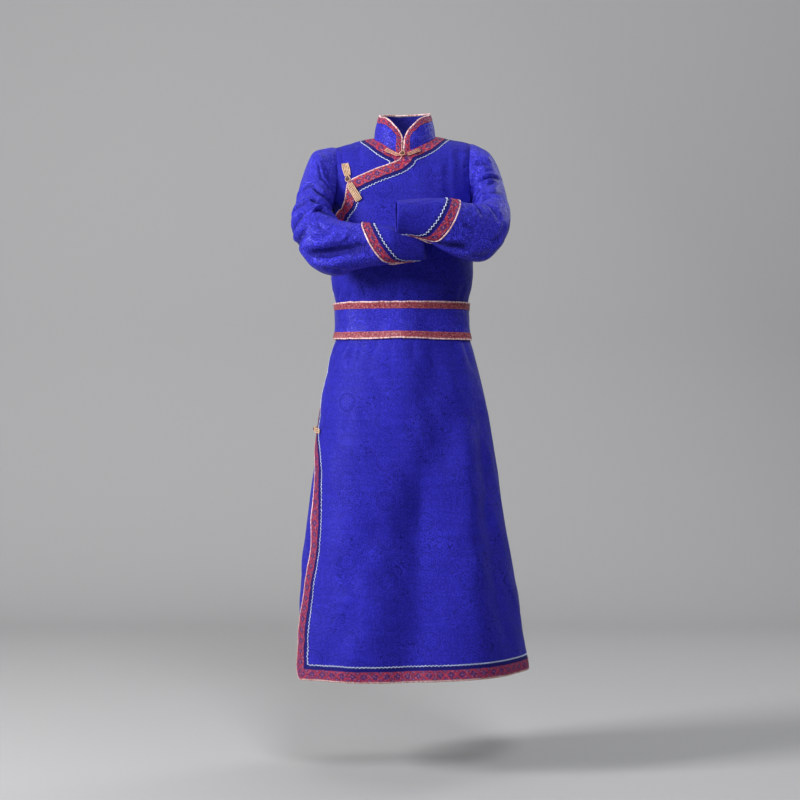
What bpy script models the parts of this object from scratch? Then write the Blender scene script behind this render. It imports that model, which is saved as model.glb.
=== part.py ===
"""A long wrapped robe (deel): two fronts, back, sleeves with turned-back cuffs, stand collar and belt.

Metres, +Z up, front towards -Y, +X to the wearer's left. The origin is the middle of the neck at
shoulder height. Every piece of cloth is a wall of its own, worked out from the tables below: a
surface for the front and the back half of the body, cut to flat outlines on the cloth.
"""

import math

import bmesh
import bpy
import numpy as np
from mathutils.geometry import delaunay_2d_cdt

# ---------------------------------------------------------------- sizes, in metres
CLOTH = 0.0012            # wall of the brocade with its backing
SEAM = 0.0003             # gap between pieces at a seam
RIBBON = 0.0008           # thickness of the woven ribbon
PIPING_R = 0.0019         # radius of the piping cord
LAP = 0.0050              # how far the outer front's face stands over the under front
SHOULDER_TILT = 0.030     # rise of the left shoulder over the right, per metre across
ARMPIT = 7                # row of the armpit
LAST = 25                 # row of the hem
EXTRA = 26                # one row past the hem, for the piping

# Sections of the body, top to hem, in millimetres. Rows 0 to 7 run from the shoulder seam to the
# armpit and end at the armhole; from row 8 on they are closed rings.
# zf yf: height and depth at the centre front.  zb yb: the same at the centre back.
# xe: half width at the edge.  yfe ybe: depth of the front and back edge.  ze: height of the edge.
# cx: sideways shift.  n m: roundness across, as (1 - |s|^n)^m.
BODY_ROWS = """
row   zf    yf    zb    yb   xe   yfe  ybe    ze   cx    n     m
0     22     0    22     0  160     0    0    -2    0  2.6  1.00
1      2   -38    24    36  160   -23   22   -10    0  2.6  1.00
2    -34   -68    12    62  158   -46   46   -34    0  2.6  1.00
3    -72   -90   -22    84  156   -61   61   -67    0  2.6  0.96
4   -108  -104   -63   101  157   -65   65  -101    0  2.5  0.88
5   -140  -113  -105   111  161   -55   56  -131    0  2.4  0.76
6   -166  -120  -145   117  166   -28   29  -151    0  2.3  0.62
7   -190  -124  -180   119  168     0    0  -158    0  2.2  0.50
8   -212  -126  -208   119  168     0    0  -185    0 2.15 0.465
9   -240  -127  -238   117  168     0    0  -225    0 2.15 0.465
10  -272  -126  -271   113  168     0    0  -268    0 2.15 0.465
11  -306  -122  -306   107  168     0    0  -306    0 2.15 0.465
12  -340  -116  -340   101  165     0    0  -340    0 2.15 0.465
13  -368  -109  -368    96  158     0    0  -368    0 2.15 0.465
14  -398  -105  -398    93  154     0    0  -398    1 2.15 0.465
15  -430  -104  -430    93  154     0    0  -430    2 2.15 0.465
16  -462  -106  -462    95  157     0    0  -462    2 2.15 0.465
17  -494  -113  -494   102  166     0    0  -494    2 2.15 0.465
18  -545  -122  -545   113  179     0    0  -545    3 2.16 0.463
19  -625  -135  -625   127  196     0    0  -625    4 2.18 0.459
20  -725  -150  -725   142  212     0    0  -725    6 2.22 0.450
21  -845  -165  -845   157  229     0    0  -845    6 2.27 0.441
22  -980  -180  -980   172  248     0    0  -980    9 2.32 0.431
23 -1100  -191 -1100   184  262     0    0 -1100   15 2.37 0.422
24 -1190  -199 -1190   193  270     0    0 -1190   20 2.40 0.417
25 -1270  -206 -1270   200  275     0    0 -1270   24 2.42 0.413
26 -1290  -208 -1290   202  277     0    0 -1290   25 2.42 0.413
"""

# Long soft folds of the skirt and the blousing over the belt. side: f front, b back.
# at0 at1: place across at the top and the bottom row, from -1 (right side) to 1 (left side).
# top end: rows between which the fold runs.  wide: share of the half girth.  deep: in mm, out +.
FOLDS = """
side  at0    at1   top  end  wide  deep
f   -0.50  -0.46   17   27  0.17    5.0
f    0.02  -0.08   18   27  0.12   -9.0
f    0.24   0.30   18   27  0.16    6.0
f    0.62   0.66   17   27  0.10   -6.0
f    0.86   0.86   19   27  0.08    4.0
f   -0.25  -0.28   20   27  0.08   -3.5
f   -0.78  -0.80   20   27  0.08   -3.0
b   -0.70  -0.72   18   27  0.11   -7.0
b   -0.42  -0.40   17   27  0.13    7.0
b   -0.10  -0.12   18   27  0.11   -9.0
b    0.20   0.22   17   27  0.14    8.0
b    0.52   0.50   18   27  0.11   -8.0
b    0.82   0.80   18   27  0.09    5.0
f   -0.30  -0.34    8   14  0.12    3.0
f    0.10   0.08    9   14  0.09   -3.0
f    0.42   0.46    8   14  0.10    3.0
b   -0.50  -0.50    7   14  0.12    3.5
b   -0.12  -0.10    8   14  0.10   -3.5
b    0.34   0.36    7   14  0.13    4.0
b    0.70   0.68    9   14  0.08   -3.0
"""


def table(text):
    """Rows of a text table as dictionaries, by the names in its first line."""
    lines = [line.split() for line in text.strip().splitlines()]
    rows = []
    for line in lines[1:]:
        row = {}
        for name, value in zip(lines[0], line):
            try:
                row[name] = float(value)
            except ValueError:
                row[name] = value
        rows.append(row)
    return rows


def column(rows, name, scale=1.0):
    return np.array([r[name] for r in rows], float) * scale


def smooth(xk, yk, x):
    """A smooth curve through a table's points that never overshoots them (monotone cubic)."""
    xk, yk, x = np.asarray(xk, float), np.asarray(yk, float), np.asarray(x, float)
    h, d = np.diff(xk), np.diff(yk) / np.diff(xk)
    m = np.zeros_like(yk)
    w1, w2 = 2 * h[1:] + h[:-1], h[1:] + 2 * h[:-1]
    same = d[:-1] * d[1:] > 0
    with np.errstate(divide="ignore", invalid="ignore"):
        m[1:-1] = np.where(same, (w1 + w2) / (w1 / d[:-1] + w2 / d[1:]), 0)
    m[0], m[-1] = d[0], d[-1]
    i = np.clip(np.searchsorted(xk, x) - 1, 0, len(h) - 1)
    t = (x - xk[i]) / h[i]
    return (
        yk[i] * (1 + 2 * t) * (1 - t) ** 2
        + m[i] * h[i] * t * (1 - t) ** 2
        + yk[i + 1] * t * t * (3 - 2 * t)
        - m[i + 1] * h[i] * t * t * (1 - t)
    )


def natural(xk, yk, x):
    """A smooth curve through points with even bends (cubic, Catmull-Rom tangents)."""
    xk, yk, x = np.asarray(xk, float), np.asarray(yk, float), np.asarray(x, float)
    h, d = np.diff(xk), np.diff(yk) / np.diff(xk)
    m = np.empty_like(yk)
    m[1:-1] = (d[:-1] * h[1:] + d[1:] * h[:-1]) / (h[1:] + h[:-1])
    m[0], m[-1] = 1.5 * d[0] - 0.5 * m[1], 1.5 * d[-1] - 0.5 * m[-2]
    i = np.clip(np.searchsorted(xk, x) - 1, 0, len(h) - 1)
    t = (x - xk[i]) / h[i]
    return (
        yk[i] * (1 + 2 * t) * (1 - t) ** 2
        + m[i] * h[i] * t * (1 - t) ** 2
        + yk[i + 1] * t * t * (3 - 2 * t)
        - m[i + 1] * h[i] * t * t * (1 - t)
    )


def step(a, b, x):
    t = np.clip((np.asarray(x, float) - a) / (b - a), 0, 1)
    return t * t * (3 - 2 * t)


def unit(v):
    return v / np.maximum(np.linalg.norm(v, axis=-1, keepdims=True), 1e-12)


def lookup(grid, i, j):
    """Reads a dense grid of vectors at fractional places."""
    i, j = np.clip(i, 0, grid.shape[0] - 1.000001), np.clip(j, 0, grid.shape[1] - 1.000001)
    i0, j0 = i.astype(int), j.astype(int)
    a, b = (i - i0)[..., None], (j - j0)[..., None]
    return (
        grid[i0, j0] * (1 - a) * (1 - b)
        + grid[i0 + 1, j0] * a * (1 - b)
        + grid[i0, j0 + 1] * (1 - a) * b
        + grid[i0 + 1, j0 + 1] * a * b
    )


class Half:
    """Front or back of the body as one surface. A place on it is (x, y): metres across from the
    centre line, and metres down the centre line from the shoulder seam."""

    PER_ROW, COLS = 16, 240

    def __init__(self, side, extra_relief=None):
        self.other = None                         # the half that carries on past the right side seam
        rows = table(BODY_ROWS)
        key = column(rows, "row")
        t = np.arange(0, EXTRA * self.PER_ROW + 1) / self.PER_ROW
        col = {n: smooth(key, column(rows, n, 0.001), t) for n in
               ("zf", "yf", "zb", "yb", "xe", "yfe", "ybe", "ze", "cx")}
        n, m = smooth(key, column(rows, "n"), t), smooth(key, column(rows, "m"), t)
        zm, ym, ye = (col["zf"], col["yf"], col["yfe"]) if side == "f" else (col["zb"], col["yb"], col["ybe"])
        # across: many places, spaced evenly along the curve
        q = np.linspace(-1, 1, 2001)
        s = np.sin(q * math.pi / 2)
        across = np.clip(1 - np.abs(s)[None, :] ** n[:, None], 0, 1)
        bow = across ** m[:, None]
        flat = (1 - s * s)[None, :] * np.ones_like(bow)
        x = col["cx"][:, None] + col["xe"][:, None] * s[None, :]
        y = ye[:, None] + (ym - ye)[:, None] * bow
        z = col["ze"][:, None] + (zm - col["ze"])[:, None] * flat
        z = z + SHOULDER_TILT * x * (1 - step(0, ARMPIT + 1, t))[:, None]
        p = np.stack([x, y, z], -1)
        run = np.concatenate([np.zeros((len(t), 1)), np.cumsum(np.linalg.norm(np.diff(p, axis=1), axis=-1), axis=1)], 1)
        mid = run[:, 1000]
        self.right, self.left = mid, run[:, -1] - mid      # half girths, to the right and the left side
        f = np.linspace(-1, 1, self.COLS + 1)
        even = np.empty((len(t), len(f), 3))
        for r in range(len(t)):
            want = mid[r] + np.where(f < 0, f * self.right[r], f * self.left[r])
            for k in range(3):
                even[r, :, k] = np.interp(want, run[r], p[r, :, k])
        self.f, self.t, self.side = f, t, side
        down = np.linalg.norm(np.diff(even[:, self.COLS // 2], axis=0), axis=-1)
        self.down = np.concatenate([[0], np.cumsum(down)])
        self.plain = even
        nrm = self.normals(even)
        relief = self.relief(f, t)
        if extra_relief is not None:
            relief = relief + extra_relief(self, f, t)
        self.p = even + nrm * relief[..., None]
        self.n = self.normals(self.p)

    def normals(self, p):
        du, dv = np.gradient(p, axis=1), np.gradient(p, axis=0)
        n = np.cross(du, dv)
        if self.side == "f":
            n = -n
        n = unit(n)
        out = unit(p - np.array([0, 0, 0]) - np.stack([p[..., 0] * 0, p[..., 1] * 0, p[..., 2]], -1))
        flip = ((n * out).sum(-1) < 0) & (np.abs(n[..., 2]) < 0.6)
        return np.where(flip[..., None], -n, n) if flip.mean() > 0.5 else n

    def relief(self, f, t):
        """How far the folds stand out of the plain surface."""
        out = np.zeros((len(t), len(f)))
        for r in table(FOLDS):
            if r["side"] != self.side:
                continue
            share = np.clip((t - r["top"]) / (r["end"] - r["top"]), 0, 1)
            at = r["at0"] + (r["at1"] - r["at0"]) * share
            if r["end"] > LAST:
                swell = share ** 1.2
            else:
                swell = np.sin(math.pi * np.clip(share, 0, 1)) ** 1.5
            out += (0.001 * r["deep"] * swell)[:, None] * np.exp(-(((f[None, :] - at[:, None]) / r["wide"]) ** 2))
        fade = step(0.0, 0.06, 1 - np.abs(f))[None, :]      # none at the side seams
        return out * fade

    def row_at(self, y):
        return np.interp(y, self.down, np.arange(len(self.t)))

    def girth(self, y, x):
        i = self.row_at(y)
        k = np.arange(len(self.t))
        return np.where(np.asarray(x) < 0, np.interp(i, k, self.right), np.interp(i, k, self.left))

    def at(self, xy, out=0.0):
        """Points of the surface at places xy, moved out, and the normals there. A place past the
        right side seam goes on round the other half."""
        xy = np.asarray(xy, float).reshape(-1, 2)
        i = self.row_at(xy[:, 1])
        half_girth = self.girth(xy[:, 1], xy[:, 0])
        j = (xy[:, 0] / half_girth + 1) * self.COLS / 2
        p, n = lookup(self.p, i, j), lookup(self.n, i, j)
        past = np.where(xy[:, 0] < 0, -xy[:, 0] - half_girth, 0)
        if self.other is not None and (past > 0).any():
            k = past > 0
            far = np.interp(i[k], np.arange(len(self.t)), self.other.right)
            p[k] = lookup(self.other.p, i[k], past[k] / far * self.COLS / 2)
            n[k] = lookup(self.other.n, i[k], past[k] / far * self.COLS / 2)
        n = unit(n)
        return p + n * np.reshape(out, (-1, 1)) * np.ones((len(xy), 1)), n

    def y_of_row(self, row):
        return np.interp(np.asarray(row, float) * self.PER_ROW, np.arange(len(self.t)), self.down)

    def row_of_y(self, y):
        return self.row_at(y) / self.PER_ROW

# ---------------------------------------------------------------- outlines, in metres on the cloth
# Neckline of the fronts and of the back, from the right shoulder to the left: across, down.
NECK_FRONT = """
across  down
-0.0710 0.000
-0.0660 0.020
-0.0550 0.040
-0.0400 0.060
-0.0210 0.076
 0.0000 0.086
 0.0200 0.078
 0.0400 0.065
 0.0610 0.045
 0.0740 0.022
 0.0790 0.000
"""
NECK_BACK = """
across  down
-0.0710 0.000
-0.0600 0.026
-0.0350 0.046
 0.0040 0.053
 0.0430 0.046
 0.0680 0.026
 0.0790 0.000
"""
# Edge of the outer front, from the pit of the neck over the chest and down the right side.
FLAP = """
across  down
-0.0010 0.087
-0.0010 0.101
-0.0080 0.110
-0.0290 0.1205
-0.0530 0.1300
-0.0830 0.1440
-0.1110 0.1590
-0.1240 0.1670
-0.1300 0.1760
-0.1325 0.190
-0.1380 0.212
-0.1500 0.236
-0.1720 0.266
-0.2000 0.303
-0.2270 0.344
-0.2430 0.376
-0.2490 0.405
-0.2420 0.436
-0.2345 0.470
-0.2330 0.500
-0.2370 0.526
-0.2620 0.600
-0.2760 0.660
-0.2810 0.710
-0.2790 0.750
-0.2680 0.785
-0.2550 0.822
-0.2465 0.870
-0.2430 0.930
-0.2440 1.000
-0.2520 1.060
-0.2650 1.130
-0.2730 1.200
-0.2780 1.270
-0.2795 1.318
-0.2730 1.3361
"""
HEM = """
across  down
-0.4200 1.334
-0.3500 1.336
-0.3000 1.3365
-0.2000 1.334
-0.0500 1.332
 0.1000 1.328
 0.2500 1.324
 0.4200 1.322
"""
UNDER_EDGE = ((0.0010, 0.087), (0.0120, 1.338))     # front edge of the under front, top and bottom
WAIST = (0.36, 0.62)                                # where the cloth curves in over and under the belt
UNDER_DROP = -0.003                                  # how much lower the under front hangs
CORNER = 0.017                                      # how far the outer front's free lower corner swings out
LAP_FROM, LAP_TO = 0.020, 0.075                      # where the outer front rises over the under front


def flat(text):
    rows = table(text)
    return np.stack([column(rows, "across"), column(rows, "down")], -1)


def resample(p, h, keep=()):
    """Points along a polyline about h apart, keeping its sharp corners."""
    p = np.asarray(p, float)
    seg = np.linalg.norm(np.diff(p, axis=0), axis=1)
    run = np.concatenate([[0], np.cumsum(seg)])
    out = []
    marks = [0, *sorted(keep), len(p) - 1]
    for a, b in zip(marks[:-1], marks[1:]):
        n = max(1, int(math.ceil((run[b] - run[a]) / h)))
        want = np.linspace(run[a], run[b], n + 1)
        out.append(np.stack([np.interp(want, run, p[:, k]) for k in range(p.shape[1])], -1)[:-1])
    return np.concatenate([*out, p[-1:]])


def curve(p, h, fine=0.0015):
    """A smooth curve through points, resampled about h apart."""
    p = np.asarray(p, float)
    run = np.concatenate([[0], np.cumsum(np.linalg.norm(np.diff(p, axis=0), axis=1))])
    t = np.arange(0, run[-1], fine)
    t = np.append(t, run[-1])
    dense = np.stack([smooth(run, p[:, k], t) if len(p) > 2 else np.interp(t, run, p[:, k]) for k in range(p.shape[1])], -1)
    return resample(dense, h)


def distance(points, line):
    """Distance of each point to a polyline, and how far along the line the nearest place is."""
    a, b = line[:-1], line[1:]
    d = b - a
    run = np.concatenate([[0], np.cumsum(np.linalg.norm(d, axis=1))])
    out = np.full(len(points), 1e9)
    along = np.zeros(len(points))
    for k in range(len(a)):
        ln = max(float(d[k] @ d[k]), 1e-18)
        t = np.clip(((points - a[k]) @ d[k]) / ln, 0, 1)
        dist = np.linalg.norm(points - (a[k] + t[:, None] * d[k]), axis=1)
        better = dist < out
        out = np.where(better, dist, out)
        along = np.where(better, run[k] + t * math.sqrt(ln), along)
    return out, along


def inside(points, poly):
    x, y = points[:, 0], points[:, 1]
    hit = np.zeros(len(points), bool)
    a, b = poly, np.roll(poly, -1, axis=0)
    for (x0, y0), (x1, y1) in zip(a, b):
        if y0 == y1:
            continue
        cross = ((y0 > y) != (y1 > y)) & (x < (x1 - x0) * (y - y0) / (y1 - y0) + x0)
        hit ^= cross
    return hit


def parallel(line, d, h, poly, tol=0.0, tall=1.0):
    """The line at distance d inside, rounded at inner corners, and carried on past both ends."""
    fine = resample(line, 0.002)
    tan = unit(np.diff(fine, axis=0))
    nrm = np.stack([-tan[:, 1], tan[:, 0]], -1)
    k = len(nrm) // 2
    if not inside((fine[k] + nrm[k] * 0.004)[None], poly)[0]:
        nrm = -nrm
    pts = []
    for i in range(len(nrm)):
        if i:
            turn = math.acos(float(np.clip(nrm[i - 1] @ nrm[i], -1, 1)))
            n = int(turn / 0.12)
            for q in range(1, n + 1):
                mix = unit(nrm[i - 1] * (1 - q / (n + 1)) + nrm[i] * (q / (n + 1)))
                pts.append(fine[i] + mix * d)
        pts += [fine[i] + nrm[i] * d, fine[i + 1] + nrm[i] * d]
    pts = np.array(pts)
    pts = pts[distance(pts, fine)[0] > d - 0.00005]
    first = pts[0] - tan[0] * 0.03
    last = pts[-1] + tan[-1] * 0.03
    body = resample(pts, h) if not tol else thin(pts, tol, h, tall)
    return np.concatenate([[first], body, [last]])


def thin(p, tol, most, tall=1.0):
    """Fewer points along a polyline, within tol of it and no further apart than most across, or
    most times tall down the cloth, where the waist doesn't curve it."""
    p = np.asarray(p, float)
    seg = np.diff(p, axis=0)
    mid = (p[1:, 1] + p[:-1, 1]) / 2
    seg[:, 1] /= np.where((mid > WAIST[0]) & (mid < WAIST[1]), 1, tall)
    run = np.concatenate([[0], np.cumsum(np.linalg.norm(seg, axis=1))])

    def split(a, b):
        if b - a < 2:
            return []
        d, _ = distance(p[a + 1:b], p[[a, b]])
        k = int(d.argmax())
        if d[k] > tol:
            m = a + 1 + k
        elif run[b] - run[a] > most:
            m = int(np.clip(np.searchsorted(run, (run[a] + run[b]) / 2), a + 1, b - 1))
        else:
            return []
        return split(a, m) + [m] + split(m, b)

    return p[[0, *split(0, len(p) - 1), len(p) - 1]]


def cdt(outline, lines, interior):
    """Triangles of an outline with lines drawn in it."""
    coords = [tuple(p) for p in outline]
    edges = [(i, (i + 1) % len(outline)) for i in range(len(outline))]
    for line in lines:
        start = len(coords)
        coords += [tuple(p) for p in line]
        edges += [(start + i, start + i + 1) for i in range(len(line) - 1)]
    coords += [tuple(p) for p in interior]
    from mathutils import Vector
    verts, _, faces, *_ = delaunay_2d_cdt([Vector(c) for c in coords], edges, [], 0, 1e-7, False)
    xy = np.array([tuple(v) for v in verts])
    tri = np.array([f for f in faces if len(f) == 3])
    a, b, c = xy[tri[:, 0]], xy[tri[:, 1]], xy[tri[:, 2]]
    area = ((b - a)[:, 0] * (c - a)[:, 1] - (b - a)[:, 1] * (c - a)[:, 0]) / 2
    tri = np.where((area < 0)[:, None], tri[:, ::-1], tri)
    mid = xy[tri].mean(1)
    tri = tri[inside(mid, np.asarray(outline)) & (np.abs(area) > 1e-9)]
    used = np.unique(tri)
    index = np.full(len(xy), -1)
    index[used] = np.arange(len(used))
    return xy[used], index[tri]


def grid_points(outline, avoid, hx, ys, clear):
    """Points in staggered rows at the heights ys, clear of the outline and the lines."""
    lo, hi = outline.min(0), outline.max(0)
    xs = np.arange(-0.6, 0.6, hx)
    g = np.array([(x + hx / 2 * (k % 2), y) for k, y in enumerate(ys) for x in xs])
    g = g[inside(g, outline)]
    for line in [np.concatenate([outline, outline[:1]]), *avoid]:
        if len(g):
            g = g[distance(g, line)[0] > clear]
    return g


def parts_of(xy, tri, keep):
    """The triangles chosen, with their own points."""
    tri = tri[keep]
    used = np.unique(tri)
    index = np.full(len(xy), -1)
    index[used] = np.arange(len(used))
    return used, index[tri]

# ---------------------------------------------------------------- the pieces' outlines
ARM_ROWS = (0, 0.9, 1.7, 2.5, 3.3, 4.1, 4.8, 5.5, 6.2, 7)       # rows of the armhole's points
SIDE_ROWS = (7, 9, 11, 13, 14.5, 16, 17.2, 18.4, 19.2, 20, 20.7, 21.4, 22.1, 22.8, 23.5, 24.2)   # rows of the side seams' points


def hem_at(x):
    h = flat(HEM)
    return float(smooth(h[:, 0], h[:, 1], [x])[0])


def side_points(half, sign, rows):
    """Places down a side edge of a half, at the given rows."""
    y = half.y_of_row(rows)
    return np.stack([sign * (half.girth(y, sign) - SEAM), y], -1)


def outlines(front, back, h, tol, tall=1.0, shoulder=3, rows=(ARM_ROWS, SIDE_ROWS)):
    """Outline, trimmed edges and seams of each panel. Front and back share their seams' points."""
    arm, side = rows
    neck_l, neck_r = 0.0790, -0.0710
    nf, nb = curve(flat(NECK_FRONT), 0.002), curve(flat(NECK_BACK), 0.002)
    flap = curve(flat(FLAP), 0.002)
    hem = curve(flat(HEM), 0.002)
    y0 = SEAM / 2

    def top(a, b):
        return [(x, y0) for x in np.linspace(a, b, shoulder + 1)]

    def cut(p):
        return thin(resample(p, 0.003), tol, h, tall)

    out = {}
    # outer front: neck, flap, side and hem are one trimmed edge
    left_neck = nf[nf[:, 0] > 0.0012][::-1]
    left_neck[0] = (neck_l, y0)
    corner = flap[-1]
    low = hem[hem[:, 0] > corner[0] + 0.001]
    end_x = float(front.girth(np.array([1.32]), 1)[0]) - SEAM
    low = low[low[:, 0] < end_x]
    edge = np.concatenate([cut(np.concatenate([left_neck, flap[:1]])), cut(flap)[1:], cut(np.concatenate([flap[-1:], low, [(end_x, hem_at(end_x))]]))[1:]])
    y_end = edge[-1][1]
    left = side_points(front, 1, [r for r in side if front.y_of_row(r) < y_end - 0.01])
    arm_l = side_points(front, 1, arm)
    rest = np.concatenate([left[::-1], arm_l[::-1][1:], np.array(top(0.160 - SEAM, neck_l))[1:]])
    rest[len(left) + len(arm_l) - 2] = (0.160 - SEAM, y0)
    out["front_outer"] = dict(edge=edge, outline=np.concatenate([edge, rest[:-1]]), half=front)
    # under front
    right_neck = nf[nf[:, 0] < UNDER_EDGE[0][0] - 0.003]
    right_neck[0] = (neck_r, y0)
    (ax, ay), (bx, by) = UNDER_EDGE
    turn_top, turn_low = np.array([(ax, ay)]), np.array([(bx, hem_at(bx) + UNDER_DROP)])
    far_x = -float(front.girth(np.array([1.33]), -1)[0]) + SEAM
    low = hem[(hem[:, 0] < bx - 0.002) & (hem[:, 0] > far_x)][::-1].copy()
    low[:, 1] += UNDER_DROP * step(far_x, far_x + 0.20, low[:, 0])
    last = np.array([(far_x, hem_at(far_x))])
    edge = np.concatenate([cut(np.concatenate([right_neck, turn_top])), cut(np.concatenate([turn_top, turn_low]))[1:], cut(np.concatenate([turn_low, low, last]))[1:]])
    y_end = edge[-1][1]
    right = side_points(front, -1, [r for r in side if front.y_of_row(r) < y_end - 0.01])
    arm_r = side_points(front, -1, arm)
    rest = np.concatenate([right[::-1], arm_r[::-1][1:], np.array(top(-0.160 + SEAM, neck_r))[1:]])
    rest[len(right) + len(arm_r) - 2] = (-0.160 + SEAM, y0)
    out["front_under"] = dict(edge=edge, outline=np.concatenate([edge, rest[:-1]]), half=front)
    # back: the hem and the neck are two trimmed edges
    x_l = float(back.girth(np.array([1.30]), 1)[0]) - SEAM
    x_r = -float(back.girth(np.array([1.30]), -1)[0]) + SEAM
    zl = front.at([(end_x, hem_at(end_x))])[0][0][2]
    zr = front.at([(far_x, hem_at(far_x))])[0][0][2]
    yl = float(np.interp(-zl, -back.p[:, -1, 2], back.down))
    yr = float(np.interp(-zr, -back.p[:, 0, 2], back.down))
    xs = np.linspace(x_l, x_r, 400)
    ys = yl + (yr - yl) * (x_l - xs) / (x_l - x_r) + 0.004 * np.sin(math.pi * (x_l - xs) / (x_l - x_r))
    xs[0], xs[-1] = float(back.girth(np.array([yl]), 1)[0]) - SEAM, -float(back.girth(np.array([yr]), -1)[0]) + SEAM
    low = cut(np.stack([xs, ys], -1))[::-1]
    neck = nb[::-1].copy()
    neck[0], neck[-1] = (neck_l, y0), (neck_r, y0)
    neck = cut(neck)
    right = side_points(back, -1, [r for r in side if back.y_of_row(r) < yr - 0.01])
    left = side_points(back, 1, [r for r in side if back.y_of_row(r) < yl - 0.01])
    arm_r, arm_l = side_points(back, -1, arm), side_points(back, 1, arm)
    arm_r[0], arm_l[0] = (-0.160 + SEAM, y0), (0.160 - SEAM, y0)
    outline = np.concatenate([
        low, left[::-1], arm_l[::-1][1:], np.array(top(0.160 - SEAM, neck_l))[1:-1], neck,
        np.array(top(neck_r, -0.160 + SEAM))[1:-1], arm_r, right[1:]])
    out["back"] = dict(edge=low, neck=neck, outline=outline, half=back)
    return out


def over(x, y):
    """How far the outer front stands out, over the under front. Its free lower corner swings out."""
    return LAP * (1 - step(LAP_FROM, LAP_TO, x)) + CORNER * step(1.02, 1.31, y) * step(-0.175, -0.278, x)


TRIMS = (0.022, 0.030, 0.035)      # inner edge of the ribbon, and both edges of the zigzag braid


def panel_net(spec, h, tol, tall, hx, ys, clear):
    """Triangles of a panel, and of the ribbon and braid on it, by distance from the trimmed edge."""
    outline, edge = spec["outline"], spec["edge"]
    lines, dists = [], []
    edges = [edge] + ([spec["neck"]] if "neck" in spec else [])
    for e in edges:
        lines += [parallel(e, d, h, outline, tol, tall) for d in TRIMS]
    pts = grid_points(outline, lines, hx, ys, clear)
    xy, tri = cdt(outline, lines, pts)
    mid = xy[tri].mean(1)
    spec.update(xy=xy, tri=tri, mid=mid, dist=[distance(mid, e)[0] for e in edges])
    return spec

# ---------------------------------------------------------------- sleeves, cuffs, collar and belt
# Sections of the sleeves, in millimetres. xi zi: inner point, from the armpit to the top of the
# forearm.  xo zo: outer point, from the shoulder past the elbow to the underside of the forearm.
# y: depth of the middle.  b: half depth.  tilt: how far the section leans back along the arm, degrees.
SLEEVE_LEFT = """
 xi   zi    xo   zo     y    b  tilt
170 -160   206  -20   -10   66    10
171 -165   229  -76   -42   63    24
169 -168   244 -146   -86   59    38
163 -171   245 -203  -131   56    48
155 -169   226 -252  -168   53    48
144 -164   186 -293  -197   50    42
127 -161   136 -290  -217   46    30
 96 -158    97 -275  -232   42    20
 62 -158    62 -255  -243   38    12
 24 -161    24 -240  -253   35     8
-14 -166   -14 -233  -260   34     5
"""
SLEEVE_RIGHT = """
 xi   zi    xo   zo     y    b  tilt
-170 -160  -209  -16   -10   66    10
-171 -167  -234  -74   -40   63    24
-169 -177  -252 -152   -78   59    38
-162 -187  -258 -208  -112   56    46
-153 -193  -240 -262  -136   53    46
-143 -197  -205 -308  -152   50    38
-124 -201  -155 -324  -162   46    26
 -98 -206  -110 -313  -168   42    16
 -52 -211   -54 -302  -172   38    10
   0 -217    -1 -293  -175   36     6
  50 -223    50 -286  -178   34     4
"""
# How far the turned-back cuff reaches from the wrist, in mm, by angle from the top of the arm.
CUFF = """
angle  reach
    0    150
   30    143
   60    130
   90    116
  120    100
  145     86
  160     70
  172     42
  180     26
"""
CUFF_TRIMS = (0.018, 0.027, 0.031)
# The collar, by angle from its front opening to the centre back: height and lean, in mm.
COLLAR = """
angle  high  lean
   0     38    11
   4     43    11
  10     48    11
  25     55    11
  45     60    12
  90     53    12
 135     54    10
 180     55     8
"""
COLLAR_RIBBON = 0.0125


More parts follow.
